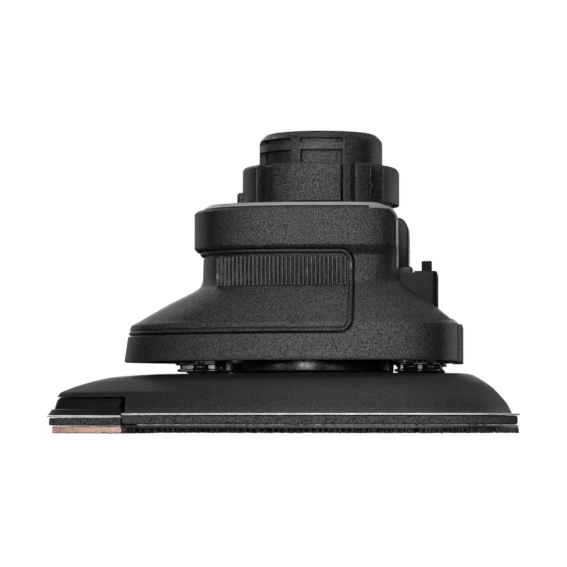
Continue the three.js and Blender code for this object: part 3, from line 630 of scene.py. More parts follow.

SHELL_LOOK = moulded("shell_plastic", 0.011, 0.47, depth=0.06, speck=0.65, band=BEVEL_HIGHLIGHT_Z)
# the cover's rib tops and rim edges turn a far lighter grey: a painted highlight, with a little rubbing
COVER_LOOK = moulded("cover_plastic", 0.011, 0.47, depth=0.06, speck=0.65, wear_and_highlight=0.2, worn_and_lit_heights=RIB_REGION)
COLLAR_LOOK = moulded("collar_plastic", 0.009, 0.45, depth=0.06, speck=0.7, shine=0.45)
# a darker copy of the moulded plastic: painted shade for the outlet and latch tucked behind the body
OUTLET_SHADE_LOOK = moulded("outlet_plastic_painted_shade", 0.004, 0.55, shine=0.12, speck=0.3)
# light grey beads on the rear edges: painted highlight
EDGE_HIGHLIGHT_LOOK = satin("painted_highlight_bead", 0.22, 0.34, 0.004, gloss=0.7)
PLATEN_LOOK = moulded("platen_plastic", 0.009, 0.56, depth=0.035, speck=0.35, shine=0.38)
TRIM_LOOK = satin("trim_plastic", 0.007, 0.42, gloss=0.28)
RUBBER_LOOK = satin("leg_elastomer", 0.008, 0.24, 0.004, gloss=0.8)
STEEL_LOOK = steel("bearing_steel", 0.62, 0.25)
COUPLER_LOOK = steel("coupler_steel", 0.42, 0.36)
SCREW_LOOK = steel("screw_steel", 0.5, 0.34)
SPRING_LOOK = steel("spring_steel", 0.72, 0.2)
FOAM_LOOK = foam_look()
HOOK_LOOK = hook_look()
FELT_LOOK = felt_look()
LAMINATE_LOOK = laminate_look()

# ---------------- the housing's form
# height, nose, tail, half width, share of the waist's plan, how far the corner is eased
HOUSING = [
    (SKIRT_BOTTOM, -46.9, 53.4, 36.0, 0.0, 0),
    (28.9, -45.7, 53.5, 35.6, 0.0, 1.0),
    (31.9, -44.8, 53.4, 35.3, 0.0, 0.35),
    (32.8, -42.9, 51.6, 34.6, 0.05, 0.45),
    (34.9, -39.3, 49.2, 33.2, 0.25, 1.4),
    (38.5, -32.8, 44.6, 30.7, 0.5, 2.0),
    (41.2, -27.1, 39.9, 28.9, 0.75, 1.4),
    (42.8, -24.3, 37.4, 27.9, 0.95, 1.1),
    (44.6, -23.4, 36.0, 27.4, 1.0, 1.2),
    (51.6, -23.2, 36.6, 27.3, 1.0, 0.25),
    (54.3, -25.9, 37.0, 28.8, 1.0, 0.3),
    (64.6, -25.9, 37.0, 28.8, 1.0, 0.3),
    (65.3, -25.2, 36.5, 28.1, 1.0, 0.1),
    (65.35, -23.0, 35.3, 26.1, 1.0, 0.02),
    (65.62, -22.9, 35.3, 26.0, 1.0, 0.02),
    (65.7, -23.6, 36.0, 26.7, 1.0, 0.05),
    (65.95, -23.5, 35.9, 26.6, 1.0, 0.1),
    (BODY_TOP, -22.5, 34.9, 25.6, 1.0, 0),
]
HOUSING_PATH = eased([level[:5] for level in HOUSING], [level[5] for level in HOUSING])
SEAM = 0.3  # between the cover and the shells
SHELL_WALL = 4.2
COVER_POCKET = 2.5
COVER_THICKNESS = 2.2
PARTING = 0.1  # each shell stops this far from the middle plane
CAVITY_TOP = BODY_TOP - SHELL_WALL
NECK_HOLE_R = 18.0
WINDOW_LOW, WINDOW_HIGH = COVER_LOW - SEAM / 2, COVER_HIGH + SEAM / 2
WINDOW_END = COVER_END + SEAM / 2
WINDOW_R = 3.8
# the rear is cut off flat, with the top corner rounded in side view
CORNER_REAR, CORNER_RX, CORNER_RZ = 34.9, 7.7, 5.4
FLARE_Z = 48.0  # below this the rear runs out into the skirt
SKIRT_REAR = 52.2


FINE = np.linspace(0, 1, 801)[None]  # close places along a plan, to find one by its x


def housing_plan(z, s, inset=0.0):
    """Places s[row, column] on the near half of the housing's plans at heights z[row]"""
    levels = [np.interp(z, HOUSING_PATH[:, 0], HOUSING_PATH[:, k])[:, None] for k in range(1, 5)]
    front, rear, half, waist_share = levels
    return egg(front, rear, half, SKIRT + (WAIST - SKIRT) * waist_share[..., None], s, inset)


def housing_points(z, q, inset=0.0):
    """Points at heights z[row] and places q[column]: 0 is the nose, 1 the cover's end, 2 the tail"""
    z, q = np.asarray(z, float), np.asarray(q, float)
    along, _ = housing_plan(z, FINE)
    end = np.array([np.interp(WINDOW_END, row, FINE[0]) for row in along])[:, None]
    s = np.where(q <= 1, q * end, end + (q - 1) * (1 - end))
    inset = np.broadcast_to(np.asarray(inset, float), z.shape)[:, None]
    x, y = housing_plan(z, s, inset)
    return np.stack([x, y, np.broadcast_to(z[:, None], x.shape)], -1)


def outward(points):
    """Unit normals of a near-side grid: rows go up, columns go from the nose to the tail"""
    normal = np.cross(np.gradient(points, axis=1), np.gradient(points, axis=0))
    return normal / np.maximum(np.linalg.norm(normal, axis=2, keepdims=True), 1e-9)


def window_distance(x, z):
    """Distance outside the cover's window in side view, negative inside it"""
    middle, half = (WINDOW_LOW + WINDOW_HIGH) / 2, (WINDOW_HIGH - WINDOW_LOW) / 2
    u = x - (WINDOW_END - WINDOW_R)
    v = np.abs(z - middle) - (half - WINDOW_R)
    return np.hypot(np.maximum(u, 0), np.maximum(v, 0)) + np.minimum(np.maximum(u, v), 0) - WINDOW_R


def corner_limit(z):
    """The rear top corner, rounded in side view: how far back the body reaches"""
    rise = np.clip((z - (BODY_TOP - CORNER_RZ)) / CORNER_RZ, 0, 1)
    upper = CORNER_REAR - CORNER_RX * (1 - np.sqrt(1 - rise**2))
    return np.minimum(upper + 0.6 * np.maximum(FLARE_Z - z, 0) ** 1.5, SKIRT_REAR)


def corner_height(x):
    run = np.clip((x - (CORNER_REAR - CORNER_RX)) / CORNER_RX, 0, 1)
    return BODY_TOP - CORNER_RZ * (1 - np.sqrt(1 - run**2))


def soft_min(a, b, width):
    """The smaller of two, rounded where they are within width of each other"""
    overlap = np.maximum(width - np.abs(a - b), 0) / width
    return np.minimum(a, b) - overlap**2 * width / 4


PATH_LENGTH = 72.0  # from the nose to the cover's end, for spacing the columns


def shell_half(side):
    columns = graded((0, 0.2), (1.2, 1.1), (65, 0.3), (71.2, 0.1), (72.8, 0.3), (75, 1.0), (142.4, 0.2), (144, 1))
    q = columns / PATH_LENGTH
    z = graded(
        (SKIRT_BOTTOM + 0.5, 0.8), (28.2, 0.1), (29.6, 0.25), (34, 0.8), (48.6, 0.3), (52.3, 0.1),
        (53.7, 0.25), (56, 0.8), (61.5, 0.3), (64.4, 0.075), (BODY_TOP, 1),
    )
    wall = housing_points(z, q)
    normal = outward(wall)
    off = window_distance(wall[..., 0], wall[..., 2])
    depth = np.where(off < SEAM / 2, COVER_POCKET, edge_drop(off - SEAM / 2, 0.45))
    parting = edge_drop(np.abs(wall[..., 1]) - PARTING, 0.2)
    depth = np.maximum(depth, np.where(wall[..., 2] < 64.9, parting, 0))
    wall = wall - normal * depth[..., None]
    wall[..., 0] = soft_min(wall[..., 0], corner_limit(wall[..., 2]), 0.9)

    foot = housing_points([SKIRT_BOTTOM] * 2 + [SKIRT_BOTTOM + 0.15], q, [SHELL_WALL - 0.3, 0.5, 0.15])
    rim = wall[-1]
    angle = np.arctan2(rim[:, 1], rim[:, 0] - AXIS_X)

    def circle(r, height):
        height = np.broadcast_to(height, angle.shape)
        return np.stack([AXIS_X + r * np.cos(angle), r * np.sin(angle), height], -1)

    lip = circle(NECK_HOLE_R + 0.4, BODY_TOP)
    top = []
    for t in (0.12, 0.5, 0.9, 1.0):
        row = rim * (1 - t) + lip * t
        row[:, 2] = np.minimum(BODY_TOP, corner_height(row[:, 0]))
        top.append(row)
    neck = [circle(NECK_HOLE_R, np.minimum(BODY_TOP - 0.4, top[-1][:, 2] - 0.4)), circle(NECK_HOLE_R, CAVITY_TOP)]
    inside = housing_points([CAVITY_TOP, 55, 51.5, 45.2, 43, 41.2, 38.5, 34.9, 31.6, 21.3], q, SHELL_WALL)
    sections = np.concatenate([foot, wall, np.array(top), np.array(neck), inside])
    sections[..., 1] = np.minimum(sections[..., 1], -PARTING)
    name = "shell_left_form" if side < 0 else "shell_right_form"
    return mesh_object(name, placed(swept(sections), mirror_y=side > 0))


def shells():
    port = bar(OUTLET_X0 - 2, FAR, -OUTLET_HALF - GAP, OUTLET_HALF + GAP, OUTLET_Z0 - GAP, OUTLET_Z1 + GAP, 0.6)
    hood = bar(SPINE_X0 - GAP, FAR, -SPINE_HALF - GAP, SPINE_HALF + GAP, SPINE_Z0 - GAP, SPINE_Z1 + GAP, 0.6)
    left = carve(shell_half(-1), port, hood)
    right = shell_half(1)
    weld_on(right, *[cross_rod(4.2, 6, head + 0.9, x, z) for x, z, _, head in CASE_SCREWS])
    # a closing rib down the skirt's tail, half on each shell
    for piece, mirror in ((left, False), (right, True)):
        weld_on(piece, placed(block((50, -13, SKIRT_BOTTOM - 0.4), (53.4, -PARTING, 31.8), 0.45), mirror_y=mirror))
    carve(right, port, hood, *[cross_rod(3.1, head - 2.1, FAR / 2, x, z, 64) for x, z, _, head in CASE_SCREWS])
    finished(left, SHELL_LOOK, "housing", ["left_shell"])
    finished(right, SHELL_LOOK, "housing", ["right_shell"])


EDGE_R = 0.42
EDGE_LOW, EDGE_TOP = 48.2, 65.15


def rear_edge_highlights():
    """A smooth bead down each rear edge of the body, rounding the top corner; its light grey is a painted highlight
    on the edge
    """
    turn = np.linspace(0, np.pi / 2, 28)
    x = np.concatenate([np.full(20, CORNER_REAR), CORNER_REAR - CORNER_RX * (1 - np.cos(turn))])
    corner = BODY_TOP - CORNER_RZ * (1 - np.sin(turn))
    z = np.concatenate([np.linspace(EDGE_LOW, corner[0] - 0.5, 20), np.minimum(corner, EDGE_TOP)])
    along, aside = housing_plan(np.minimum(z, 64.6), FINE)
    x = x - 0.3
    y = np.array([np.interp(at, row, side) for at, row, side in zip(x, along, aside)])
    path = np.column_stack([x, y + 0.12, z])
    sideway = np.array([0, 1.0, 0])
    across = np.cross(np.gradient(path, axis=0), sideway)
    across /= np.linalg.norm(across, axis=1, keepdims=True)
    around = np.linspace(0, 2 * np.pi, 12, endpoint=False)[None, :, None]
    ring = path[:, None] + EDGE_R * (sideway * np.cos(around) + across[:, None] * np.sin(around))
    for name, mirror in (("left", False), ("right", True)):
        piece = mesh_object(f"painted_highlight_bead_{name}", placed(swept(ring), mirror_y=mirror))
        finished(piece, EDGE_HIGHLIGHT_LOOK, "housing", (), sharp=60)


# ---------------- the grip cover
RIB_FIRST, RIB_PITCH, RIB_COUNT = -17.6, 1.2, 32
RIB_WIDTH, RIB_HEIGHT = 0.78, 0.75
RIB_LOW, RIB_HIGH = 42.4, 51.2
BEAD = 1.15  # the moulded bead round the cover's rim
BEAD_GROOVE = 0.3


def rib_height(x, z):
    """Height of the grip's upright ribs at a place in side view"""
    nearest = np.clip(np.round((x - RIB_FIRST - RIB_WIDTH / 2) / RIB_PITCH), 0, RIB_COUNT - 1)
    aside = x - (RIB_FIRST + RIB_WIDTH / 2 + nearest * RIB_PITCH)
    ends = RIB_WIDTH / 2
    beyond = np.maximum(0, np.maximum(RIB_LOW + ends - z, z - (RIB_HIGH - ends)))
    return RIB_HEIGHT * bump(np.hypot(aside, beyond), RIB_WIDTH / 2)


def grip_cover():
    reference = 47.4
    along_x = housing_plan(np.array([reference]), FINE)[0][0]
    end = np.interp(WINDOW_END, along_x, FINE[0])
    first = np.interp(RIB_FIRST - 0.9, along_x, FINE[0]) / end
    flank = graded((RIB_FIRST - 0.9, 0.13), (RIB_FIRST + RIB_COUNT * RIB_PITCH + 0.6, 0.15), (COVER_END, 1))
    near = np.concatenate([np.linspace(0, first, 26)[:-1], np.interp(flank, along_x, FINE[0]) / end])
    q = np.concatenate([-near[:0:-1], near])

    x_mid = housing_points([reference], np.abs(q))[0, :, 0]
    arc = np.clip(x_mid - (COVER_END - WINDOW_R + SEAM / 2), 0, WINDOW_R - SEAM / 2)
    rise = edge_drop(WINDOW_R - SEAM / 2 - arc, WINDOW_R - SEAM / 2)
    low, high = COVER_LOW + rise, COVER_HIGH - rise
    steps = graded(
        (COVER_LOW, 0.1), (COVER_LOW + 1.7, 0.3), (COVER_LOW + 4.4, 0.7), (41.8, 0.16), (43.2, 0.7), (50.2, 0.16),
        (COVER_HIGH - 1.7, 0.1), (COVER_HIGH, 1),
    )
    share = (steps - COVER_LOW) / (COVER_HIGH - COVER_LOW)
    height = low[None] + (high - low)[None] * share[:, None]

    def skin(height, inset):
        grid = np.empty((*height.shape, 3))
        for c in range(height.shape[1]):
            grid[:, c] = housing_points(height[:, c], [abs(q[c])], inset)[:, 0]
        return grid

    outer = skin(height, 0.0)
    normal = outward(outer)
    # the grid runs from one flank round the nose to the other, so the far side is worked out on the near one
    left_half = q < 0
    normal[:, left_half] *= -1
    middle = np.argmin(np.abs(q))
    normal[:, middle] = normal[:, middle + 1] * [1, 0, 1]
    normal[:, middle] /= np.linalg.norm(normal[:, middle], axis=1, keepdims=True)
    within = -(window_distance(outer[..., 0], outer[..., 2]) + SEAM / 2)
    drop = edge_drop(within, BEAD / 2) + 0.25 * bump(within - BEAD, BEAD_GROOVE / 2 + 0.12)
    drop = np.where(within < BEAD, np.maximum(drop, edge_drop(BEAD - within, BEAD / 2) * 0.8), drop)
    outer = outer - normal * (drop - rib_height(outer[..., 0], outer[..., 2]))[..., None]

    inner_share = np.array([1.0, 0.97, 0.8, 0.66, 0.55, 0.4, 0.2, 0.03, 0.0])
    inner = skin(low[None] + (high - low)[None] * inner_share[:, None], COVER_THICKNESS)
    sections = np.concatenate([outer, inner])
    sections[..., 1] *= np.where(q < 0, -1, 1)[None]
    cover = mesh_object("grip_cover", swept(sections))
    finished(cover, COVER_LOOK, "housing", ["nose_cover"], sharp=50)


# ---------------- quick-connect collar
COLLAR_R, COLLAR_ROOT, SLOT_ROOT = 23.2, 20.2, 18.6
NOSE_LUG = (-129, -51)
SIDE_LUGS = [(-35, 18), (29, 42), (56, 88)]
SLOT = (43, 55)
SPIGOT_R, RECESS_R, BORE_R, SPIGOT_CHAMFER, RIM_Z = 18.2, 16.6, 13.6, 2.1, 86.2
RECESS = (-78, 24)
KEY = (-25, -16)
RECESS_BAND = (82.7, 84.7)  # the bayonet's band between the upper and the lower pocket


def both_sides(parts):
    return list(parts) + [placed(part, mirror_y=True) for part in parts]


def arc_body(profile, start, end, sides=40):
    """A bar with this (radius, height) outline, bent about the spindle axis"""
    profile = np.asarray(profile, float)
    angle = np.radians(np.linspace(start, end, sides))
    sections = np.empty((len(profile), sides, 3))
    sections[..., 0] = AXIS_X + profile[:, :1] * np.sin(angle)
    sections[..., 1] = -profile[:, :1] * np.cos(angle)
    sections[..., 2] = profile[:, 1:]
    return swept(sections)


def rounding(start, end, radius):
    """What to cut off the lugs' outer top edge to round it"""
    bend = np.radians(np.linspace(0, 90, 9))
    middle = COLLAR_R - radius
    profile = [(COLLAR_R + 3, COLLAR_TOP - radius)]
    profile += [(middle + radius * math.cos(t), COLLAR_TOP - radius + radius * math.sin(t)) for t in bend]
    return arc_body(profile + [(middle, COLLAR_TOP + 3), (COLLAR_R + 3, COLLAR_TOP + 3)], start, end)


def collar_body():
    core = eased(
        [(BORE_R, 60.5), (19.1, 60.5), (19.1, CAVITY_TOP - GAP), (17.7, CAVITY_TOP - GAP),
         (17.7, COLLAR_BASE - 0.1), (COLLAR_ROOT, COLLAR_BASE), (COLLAR_ROOT, COLLAR_TOP - 0.3),
         (SPIGOT_R, COLLAR_TOP - 0.1), (SPIGOT_R, SPIGOT_TOP - SPIGOT_CHAMFER),
         (SPIGOT_R - SPIGOT_CHAMFER, SPIGOT_TOP), (BORE_R + 0.6, SPIGOT_TOP), (BORE_R, SPIGOT_TOP - 0.6),
         (BORE_R, 76), (7.0, 74.5), (6.5, 69), (11.1, 68.4), (11.1, 60.5)],
        [0, 0.3, 0.3, 0, 0, 0.5, 0.5, 0.2, 1.0, 0.9, 0.3, 0.3, 0.8, 0.8, 0.2, 0.2, 0],
    )
    piece = mesh_object("spigot_and_collar", turned(core[1:], AXIS_X, sides=180))
    lugs = [sector(*ends, COLLAR_ROOT - 1.4, COLLAR_R, COLLAR_BASE, COLLAR_TOP, 0.45)
            for ends in [NOSE_LUG, *SIDE_LUGS]]
    weld_on(piece, lugs[0], *both_sides(lugs[1:]))
    carve(piece, rounding(-140, -40, 1.3), *both_sides([rounding(-38, 44, 0.8), rounding(50, 89.9, 2.2)]))
    return piece


def spigot_cuts():
    """One half of the bayonet's windows; the other half is half a turn round"""
    spans = ((RECESS[0], KEY[0]), (KEY[1], RECESS[1]))
    pockets = ((COLLAR_TOP + 0.4, RECESS_BAND[0]), (RECESS_BAND[1], RIM_Z))
    return [sector(*span, RECESS_R, FAR / 3, *pocket, 0.15) for span in spans for pocket in pockets]


def quick_connect():
    piece = collar_body()
    cuts = spigot_cuts()
    carve(piece, *cuts, *[turned_half_round(cut) for cut in cuts])
    slots = [sector(SLOT[0], SLOT[1], SLOT_ROOT, FAR / 3, COLLAR_BASE + 1.2, COLLAR_TOP, 0.35)]
    carve(piece, *both_sides(slots))
    # an upright rib and a shallow step beside the main lug, and a locating key on the nose side
    inner = COLLAR_ROOT - 0.6
    extras = both_sides([sector(20.5, 23.5, inner, COLLAR_ROOT + 1.5, COLLAR_BASE, COLLAR_TOP - 0.4, 0.3)])
    extras += both_sides([sector(-44, -34, inner, COLLAR_ROOT + 1.1, COLLAR_BASE, COLLAR_TOP - 0.5, 0.35)])
    extras.append(block((-13.2, -3, COLLAR_BASE), (-9, 3, 71.2), 0.9))
    weld_on(piece, *extras)
    finished(piece, COLLAR_LOOK, "housing", ["quick_connect_collar"])


def detent_springs():
    strip = sector(45.5, 52.5, SLOT_ROOT + 0.35, SLOT_ROOT + 0.8, 70, 78.5, 0.12)
    nose = sector(46.5, 51.5, SLOT_ROOT + 0.5, SLOT_ROOT + 2, 71.4, 73, 0.5)
    for side, name in ((False, "left"), (True, "right")):
        piece = mesh_object(f"detent_clip_{name}", placed(strip, mirror_y=side))
        weld_on(piece, placed(nose, mirror_y=side))
        finished(piece, SPRING_LOOK, "housing", [f"detent_spring_{name}"])


# ---------------- rear fittings
def side_slab(profile, y0, y1, edge=0.4):
    """A slab whose outline is drawn in X and Z, lying along Y with rounded rims"""
    return sideways(slab(profile, y0, y1, edge))


def hood_outline(inset):
    x0, x1, z0, z1 = SPINE_X0 - inset, SPINE_X1 - inset, SPINE_Z0 - inset, SPINE_Z1 - inset
    bend = np.linspace(0, np.pi / 2, 12)
    radius = 4.2 - inset * 0.5
    arc = [(x1 - radius * 0.7 * (1 - math.cos(t)), z1 - radius * (1 - math.sin(t))) for t in bend]
    return np.array([(x0, z0), (x1, z0)] + arc + [(x0, z1)])


def rear_hood():
    piece = mesh_object("seam_hood", side_slab(hood_outline(0), -SPINE_HALF, SPINE_HALF, 0.7))
    hollow = side_slab(hood_outline(1.6) - [0.7, 0], -SPINE_HALF + 1.6, SPINE_HALF - 1.6, 0.4)
    clear = rod(19.5, 60.1, CAVITY_TOP, AXIS_X, sides=96)
    # two shallow channels down its back
    grooves = [bar(SPINE_X1 - 0.35, SPINE_X1 + 3, s * 4.4 - 0.8, s * 4.4 + 0.8, SPINE_Z0 + 2, SPINE_Z1 - 4.6, 0.3)
               for s in (-1, 1)]
    carve(piece, hollow, clear, *grooves)
    finished(piece, TRIM_LOOK, "housing", ["rear_spine"])
    # a soft seal closes the gap between the hood and the outlet
    seal = mesh_object("outlet_seal", block((34.0, -8.2, OUTLET_Z1 - 0.8), (38.6, 8.2, SPINE_Z0 + 0.3), 0.35))
    finished(seal, TRIM_LOOK, "housing", ())


def dust_outlet():
    chamfer_x, chamfer_y = 1.1, 1.4
    plan = closed_eased(
        [(OUTLET_X0, -OUTLET_HALF), (OUTLET_X1 - chamfer_x, -OUTLET_HALF), (OUTLET_X1, -OUTLET_HALF + chamfer_y),
         (OUTLET_X1, OUTLET_HALF - chamfer_y), (OUTLET_X1 - chamfer_x, OUTLET_HALF), (OUTLET_X0, OUTLET_HALF)],
        [0.3, 0.25, 0.25, 0.25, 0.25, 0.3],
    )
    piece = mesh_object("dust_outlet_box", slab(plan, OUTLET_Z0, OUTLET_Z1, 0.35))
    web, wall = 3.4, 2.0
    cuts = []
    for s in (-1, 1):
        y0, y1 = sorted((s * web, s * (OUTLET_HALF - wall)))
        cuts.append(block((OUTLET_X0 - 2, y0, OUTLET_Z0 + wall), (OUTLET_X1 + 3, y1, OUTLET_Z1 - wall), 0.9))
        # a lead-in step round each port
        step = wall - 0.5
        cuts.append(block((OUTLET_X1 - 0.8, y0 - 0.5, OUTLET_Z0 + step),
                          (OUTLET_X1 + 3, y1 + 0.5, OUTLET_Z1 - step), 0.9))
    cuts.append(rod(19.6, 20, 42, AXIS_X, sides=96))
    # the button's shaft, with a wider pocket under it for its foot and spring
    half = LATCH_HALF
    cuts.append(bar(LATCH_X0 + 0.45, LATCH_X1 - 0.45, -half - 0.15, half + 0.15, 43, 50, 0.2))
    cuts.append(bar(LATCH_X0 - 0.15, LATCH_X1 + 0.15, -half - 0.7, half + 0.7, 37.5, LATCH_Z0 + 1.4, 0.2))
    # a shallow step down towards the body
    cuts.append(bar(OUTLET_X0 - 3, 39.4, -FAR, FAR, OUTLET_Z1 - 0.5, OUTLET_Z1 + 3, 0.2))
    carve(piece, *cuts)
    finished(piece, OUTLET_SHADE_LOOK, "housing", ["dust_outlet"])


def latch_button():
    half, top = LATCH_HALF, LATCH_TOP
    x0, x1 = LATCH_X0 + 0.6, LATCH_X1 - 0.6
    piece = mesh_object("latch_peg", block((x0, -half, LATCH_Z0 + 0.2), (x1, half, top), 0.45, (3, 4, 6)))
    weld_on(piece, block((LATCH_X0, -half - 0.4, LATCH_Z0), (LATCH_X1, half + 0.4, LATCH_Z0 + 1.2), 0.3))
    grooves = [bar(x, x + 0.25, -half - 1, half + 1, top - 0.18, top + 1, 0.08)
               for x in x0 + 0.35 + 0.75 * np.arange(3)]
    carve(piece, *grooves)
    finished(piece, OUTLET_SHADE_LOOK, "latch", ["latch_button"])


def latch_spring():
    x, turns, steps = (LATCH_X0 + LATCH_X1) / 2, 4, 24
    t = np.linspace(0, 1, turns * steps + 1)
    angle = 2 * np.pi * turns * t
    centre = np.column_stack([x + 1.3 * np.cos(angle), 1.3 * np.sin(angle), 37.95 + (LATCH_Z0 - 38.4) * t])
    out = np.column_stack([np.cos(angle), np.sin(angle), np.zeros_like(t)])
    around = np.linspace(0, 2 * np.pi, 10, endpoint=False)
    wire = 0.24
    ring = centre[None] + wire * (
        out[None] * np.cos(around)[:, None, None] + np.array([0, 0, 1.0]) * np.sin(around)[:, None, None]
    )
    piece = mesh_object("latch_coil", swept(ring))
    finished(piece, SPRING_LOOK, "housing", ["latch_spring"], sharp=60)
    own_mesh(piece)


# ---------------- underside of the housing
def fan_shroud():
    low, top = reach("fan_shroud", 2)
    outline = closed_eased(
        [(23.1, low), (25.0, low), (25.0, top), (21.8, top), (21.8, top - 1.2), (23.1, top - 1.2)],
        [0.4, 0.5, 0.3, 0.3, 0.2, 0.2],
    )
    piece = mesh_object("fan_shroud_ring", turned(outline, SHROUD_X, sides=144))
    finished(piece, RUBBER_LOOK, "housing", ["fan_shroud"])


PLUG_BACK = 0.8  # a leg's plug sits this far in front of the leg's middle
LEG_POSTS = {"front": [-22.6], "rear": [38.4, 44.0]}


def leg_form(name, where, mirror):
    (x0, x1), (z0, z1) = reach(name, 0), reach(name, 2)
    y0, y1 = sorted(abs(v) for v in reach(name, 1))
    under = SKIRT_BOTTOM - GAP

    def layer(inset, low, high, edge):
        plan = round_rectangle(x0 + inset, x1 - inset, y0 + inset, y1 - inset, 2.4 - inset)
        return slab(plan, low, high, edge)

    piece = mesh_object(f"{name}_form", placed(layer(0, under - 0.8, under, 0.3), mirror_y=mirror))
    waisted = eased(
        [(0, z0 + 0.2), (3.5, z0 + 0.2), (2.9, z0 + 1.2), (2.9, under - 1.0), (3.5, under - 0.2), (0, under - 0.2)],
        [0, 0.1, 0.5, 0.5, 0.1, 0],
    )
    parts = [
        layer(0.5, z0, z0 + 0.8, 0.3),
        layer(1.3, z0 + 0.4, under - 0.2, 0.1),
        layer(1.5, under - 0.5, 21.7, 0.2),
        rod(3.2, 20.8, z1, (x0 + x1) / 2 - PLUG_BACK, (y0 + y1) / 2),
    ]
    parts += [turned_solid(waisted, x, y1 - 3.2, 48) for x in LEG_POSTS[where]]
    weld_on(piece, *[placed(part, mirror_y=mirror) for part in parts])
    finished(piece, RUBBER_LOOK, "housing", [name])


def legs():
    for where in ("front", "rear"):
        for hand, mirror in (("left", True), ("right", False)):
            leg_form(f"{where}_{hand}_leg", where, mirror)


def base_plate():
    through = (15, 30)
    plan = egg_plan(-46.1, 53.0, 35.7, SKIRT, SHELL_WALL + GAP)
    piece = mesh_object("base_plate_form", slab(plan, 21.8, 24.3, 0.3))
    holes = [rod(21.5, *through, SHROUD_X, sides=120)]
    for where in ("front", "rear"):
        leg = f"{where}_right_leg"
        for s in (-1, 1):
            holes.append(rod(3.5, *through, centre_of(leg, 0) - PLUG_BACK, s * centre_of(leg, 1)))
    holes += [rod(1.6, *through, x, y) for x, y in BASE_SCREWS]
    carve(piece, *holes)
    finished(piece, TRIM_LOOK, "housing", ["base_plate"])


def base_screws():
    for node, (x, y) in zip(BASE_SCREW_NODES, BASE_SCREWS):
        bottom, top = reach(node, 2)
        head = eased([(0, bottom), (2.4, bottom), (2.4, 21.7), (1.3, 21.7), (1.3, top), (0, top)],
                     [0, 0.6, 0.15, 0.1, 0.4, 0])
        piece = mesh_object(f"{node}_form", turned_solid(head, x, y, 40))
        carve(piece, rod(1.0, 19, 20.9, x, y, 6))
        finished(piece, SCREW_LOOK, "housing", [node])


def case_screws():
    for node, (x, z, low, head) in zip(CASE_SCREW_NODES, CASE_SCREWS):
        shape = eased([(0, low), (1.5, low), (1.5, head - 2), (2.8, head - 2), (2.8, head), (0, head)],
                      [0, 0.5, 0.05, 0.1, 0.6, 0])
        piece = mesh_object(f"{node}_form", sideways(turned_solid(shape, sides=48), x, z))
        lobes = [cross_rod(0.42, head - 1.3, head + 2, x + 0.95 * math.cos(a), z + 0.95 * math.sin(a), 12)
                 for a in np.radians(np.arange(0, 360, 60))]
        carve(piece, cross_rod(1.0, head - 1.3, head + 2, x, z, 24), *lobes)
        finished(piece, SCREW_LOOK, "housing", [node])


# ---------------- spindle
SHAFT_HOLE_R = 4.06


def drive_coupler():
    bottom, top = reach("drive_coupler", 2)
    ring = ring_profile(SHAFT_HOLE_R, 8.0, bottom, bottom + 6, 0.35)
    piece = mesh_object("coupler_dogs", turned(ring, AXIS_X))
    weld_on(piece, *[sector(k * 60 - 15, k * 60 + 15, 5, 8, bottom + 5, top, 0.4) for k in range(6)])
    finished(piece, COUPLER_LOOK, "spindle", ["drive_coupler"])


def cooling_fan():
    low, high = reach("cooling_fan", 2)
    hole, disc_low = SHAFT_HOLE_R, high - 1.4
    wheel = closed_eased([(hole, low), (7, low), (7, disc_low), (18.4, disc_low), (18.4, high), (hole, high)],
                         [0.2, 0.5, 1.2, 0.4, 0.4, 0.2])
    piece = mesh_object("fan_wheel", turned(wheel, AXIS_X, sides=120))
    blades = []
    for k in range(9):
        points, faces = block((6, -0.6, low), (18, 0.6, high - 0.9), 0.25, (8, 1, 2))
        turn = 2 * np.pi * k / 9
        x, y = points[:, 0], points[:, 1]
        blades.append((np.column_stack([AXIS_X + x * math.cos(turn) - y * math.sin(turn),
                                        x * math.sin(turn) + y * math.cos(turn), points[:, 2]]), faces))
    weld_on(piece, *blades)
    finished(piece, TRIM_LOOK, "spindle", ["cooling_fan"])


def refined(node, look, body, width):
    """A CAD part whose shape is right, with broken edges and its finish"""
    piece = new_object(f"{node}_finish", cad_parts[node].data.copy())
    work = bmesh.new()
    work.from_mesh(piece.data)
    bmesh.ops.remove_doubles(work, verts=work.verts, dist=0.002 * MM)
    bmesh.ops.dissolve_limit(work, angle_limit=math.radians(1), verts=work.verts, edges=work.edges)
    work.to_mesh(piece.data)
    work.free()
    bevel = piece.modifiers.new("broken_edges", "BEVEL")
    bevel.width = width * MM
    bevel.segments = 2
    bevel.limit_method = "ANGLE"
    bevel.angle_limit = math.radians(40)
    applied(piece)
    finished(piece, look, body, [node], sharp=45)


def inner_works():
    for node, look, body, slot, width in (
        ("drive_shaft", STEEL_LOOK, "spindle", "bearing_steel", 0.2),
        ("counterweight", SCREW_LOOK, "spindle", "screw_steel", 0.2),
        ("hub_screw", SCREW_LOOK, "spindle", "screw_steel", 0.15),
        ("hub_bearing_inner_race", STEEL_LOOK, "spindle", "bearing_steel", 0.2),
        ("hub_bearing_outer_race", STEEL_LOOK, "platform", "bearing_steel", 0.2),
        ("upper_bearing", STEEL_LOOK, "housing", "bearing_steel", 0.2),
        ("lower_bearing", STEEL_LOOK, "housing", "bearing_steel", 0.2),
        ("bearing_bridge", TRIM_LOOK, "housing", "trim_plastic", 0.3),
    ):
        refined(node, look, body, width)


# ---------------- platen
PLATEN_BOTTOM, PLATEN_TOP = reach("platen", 2)
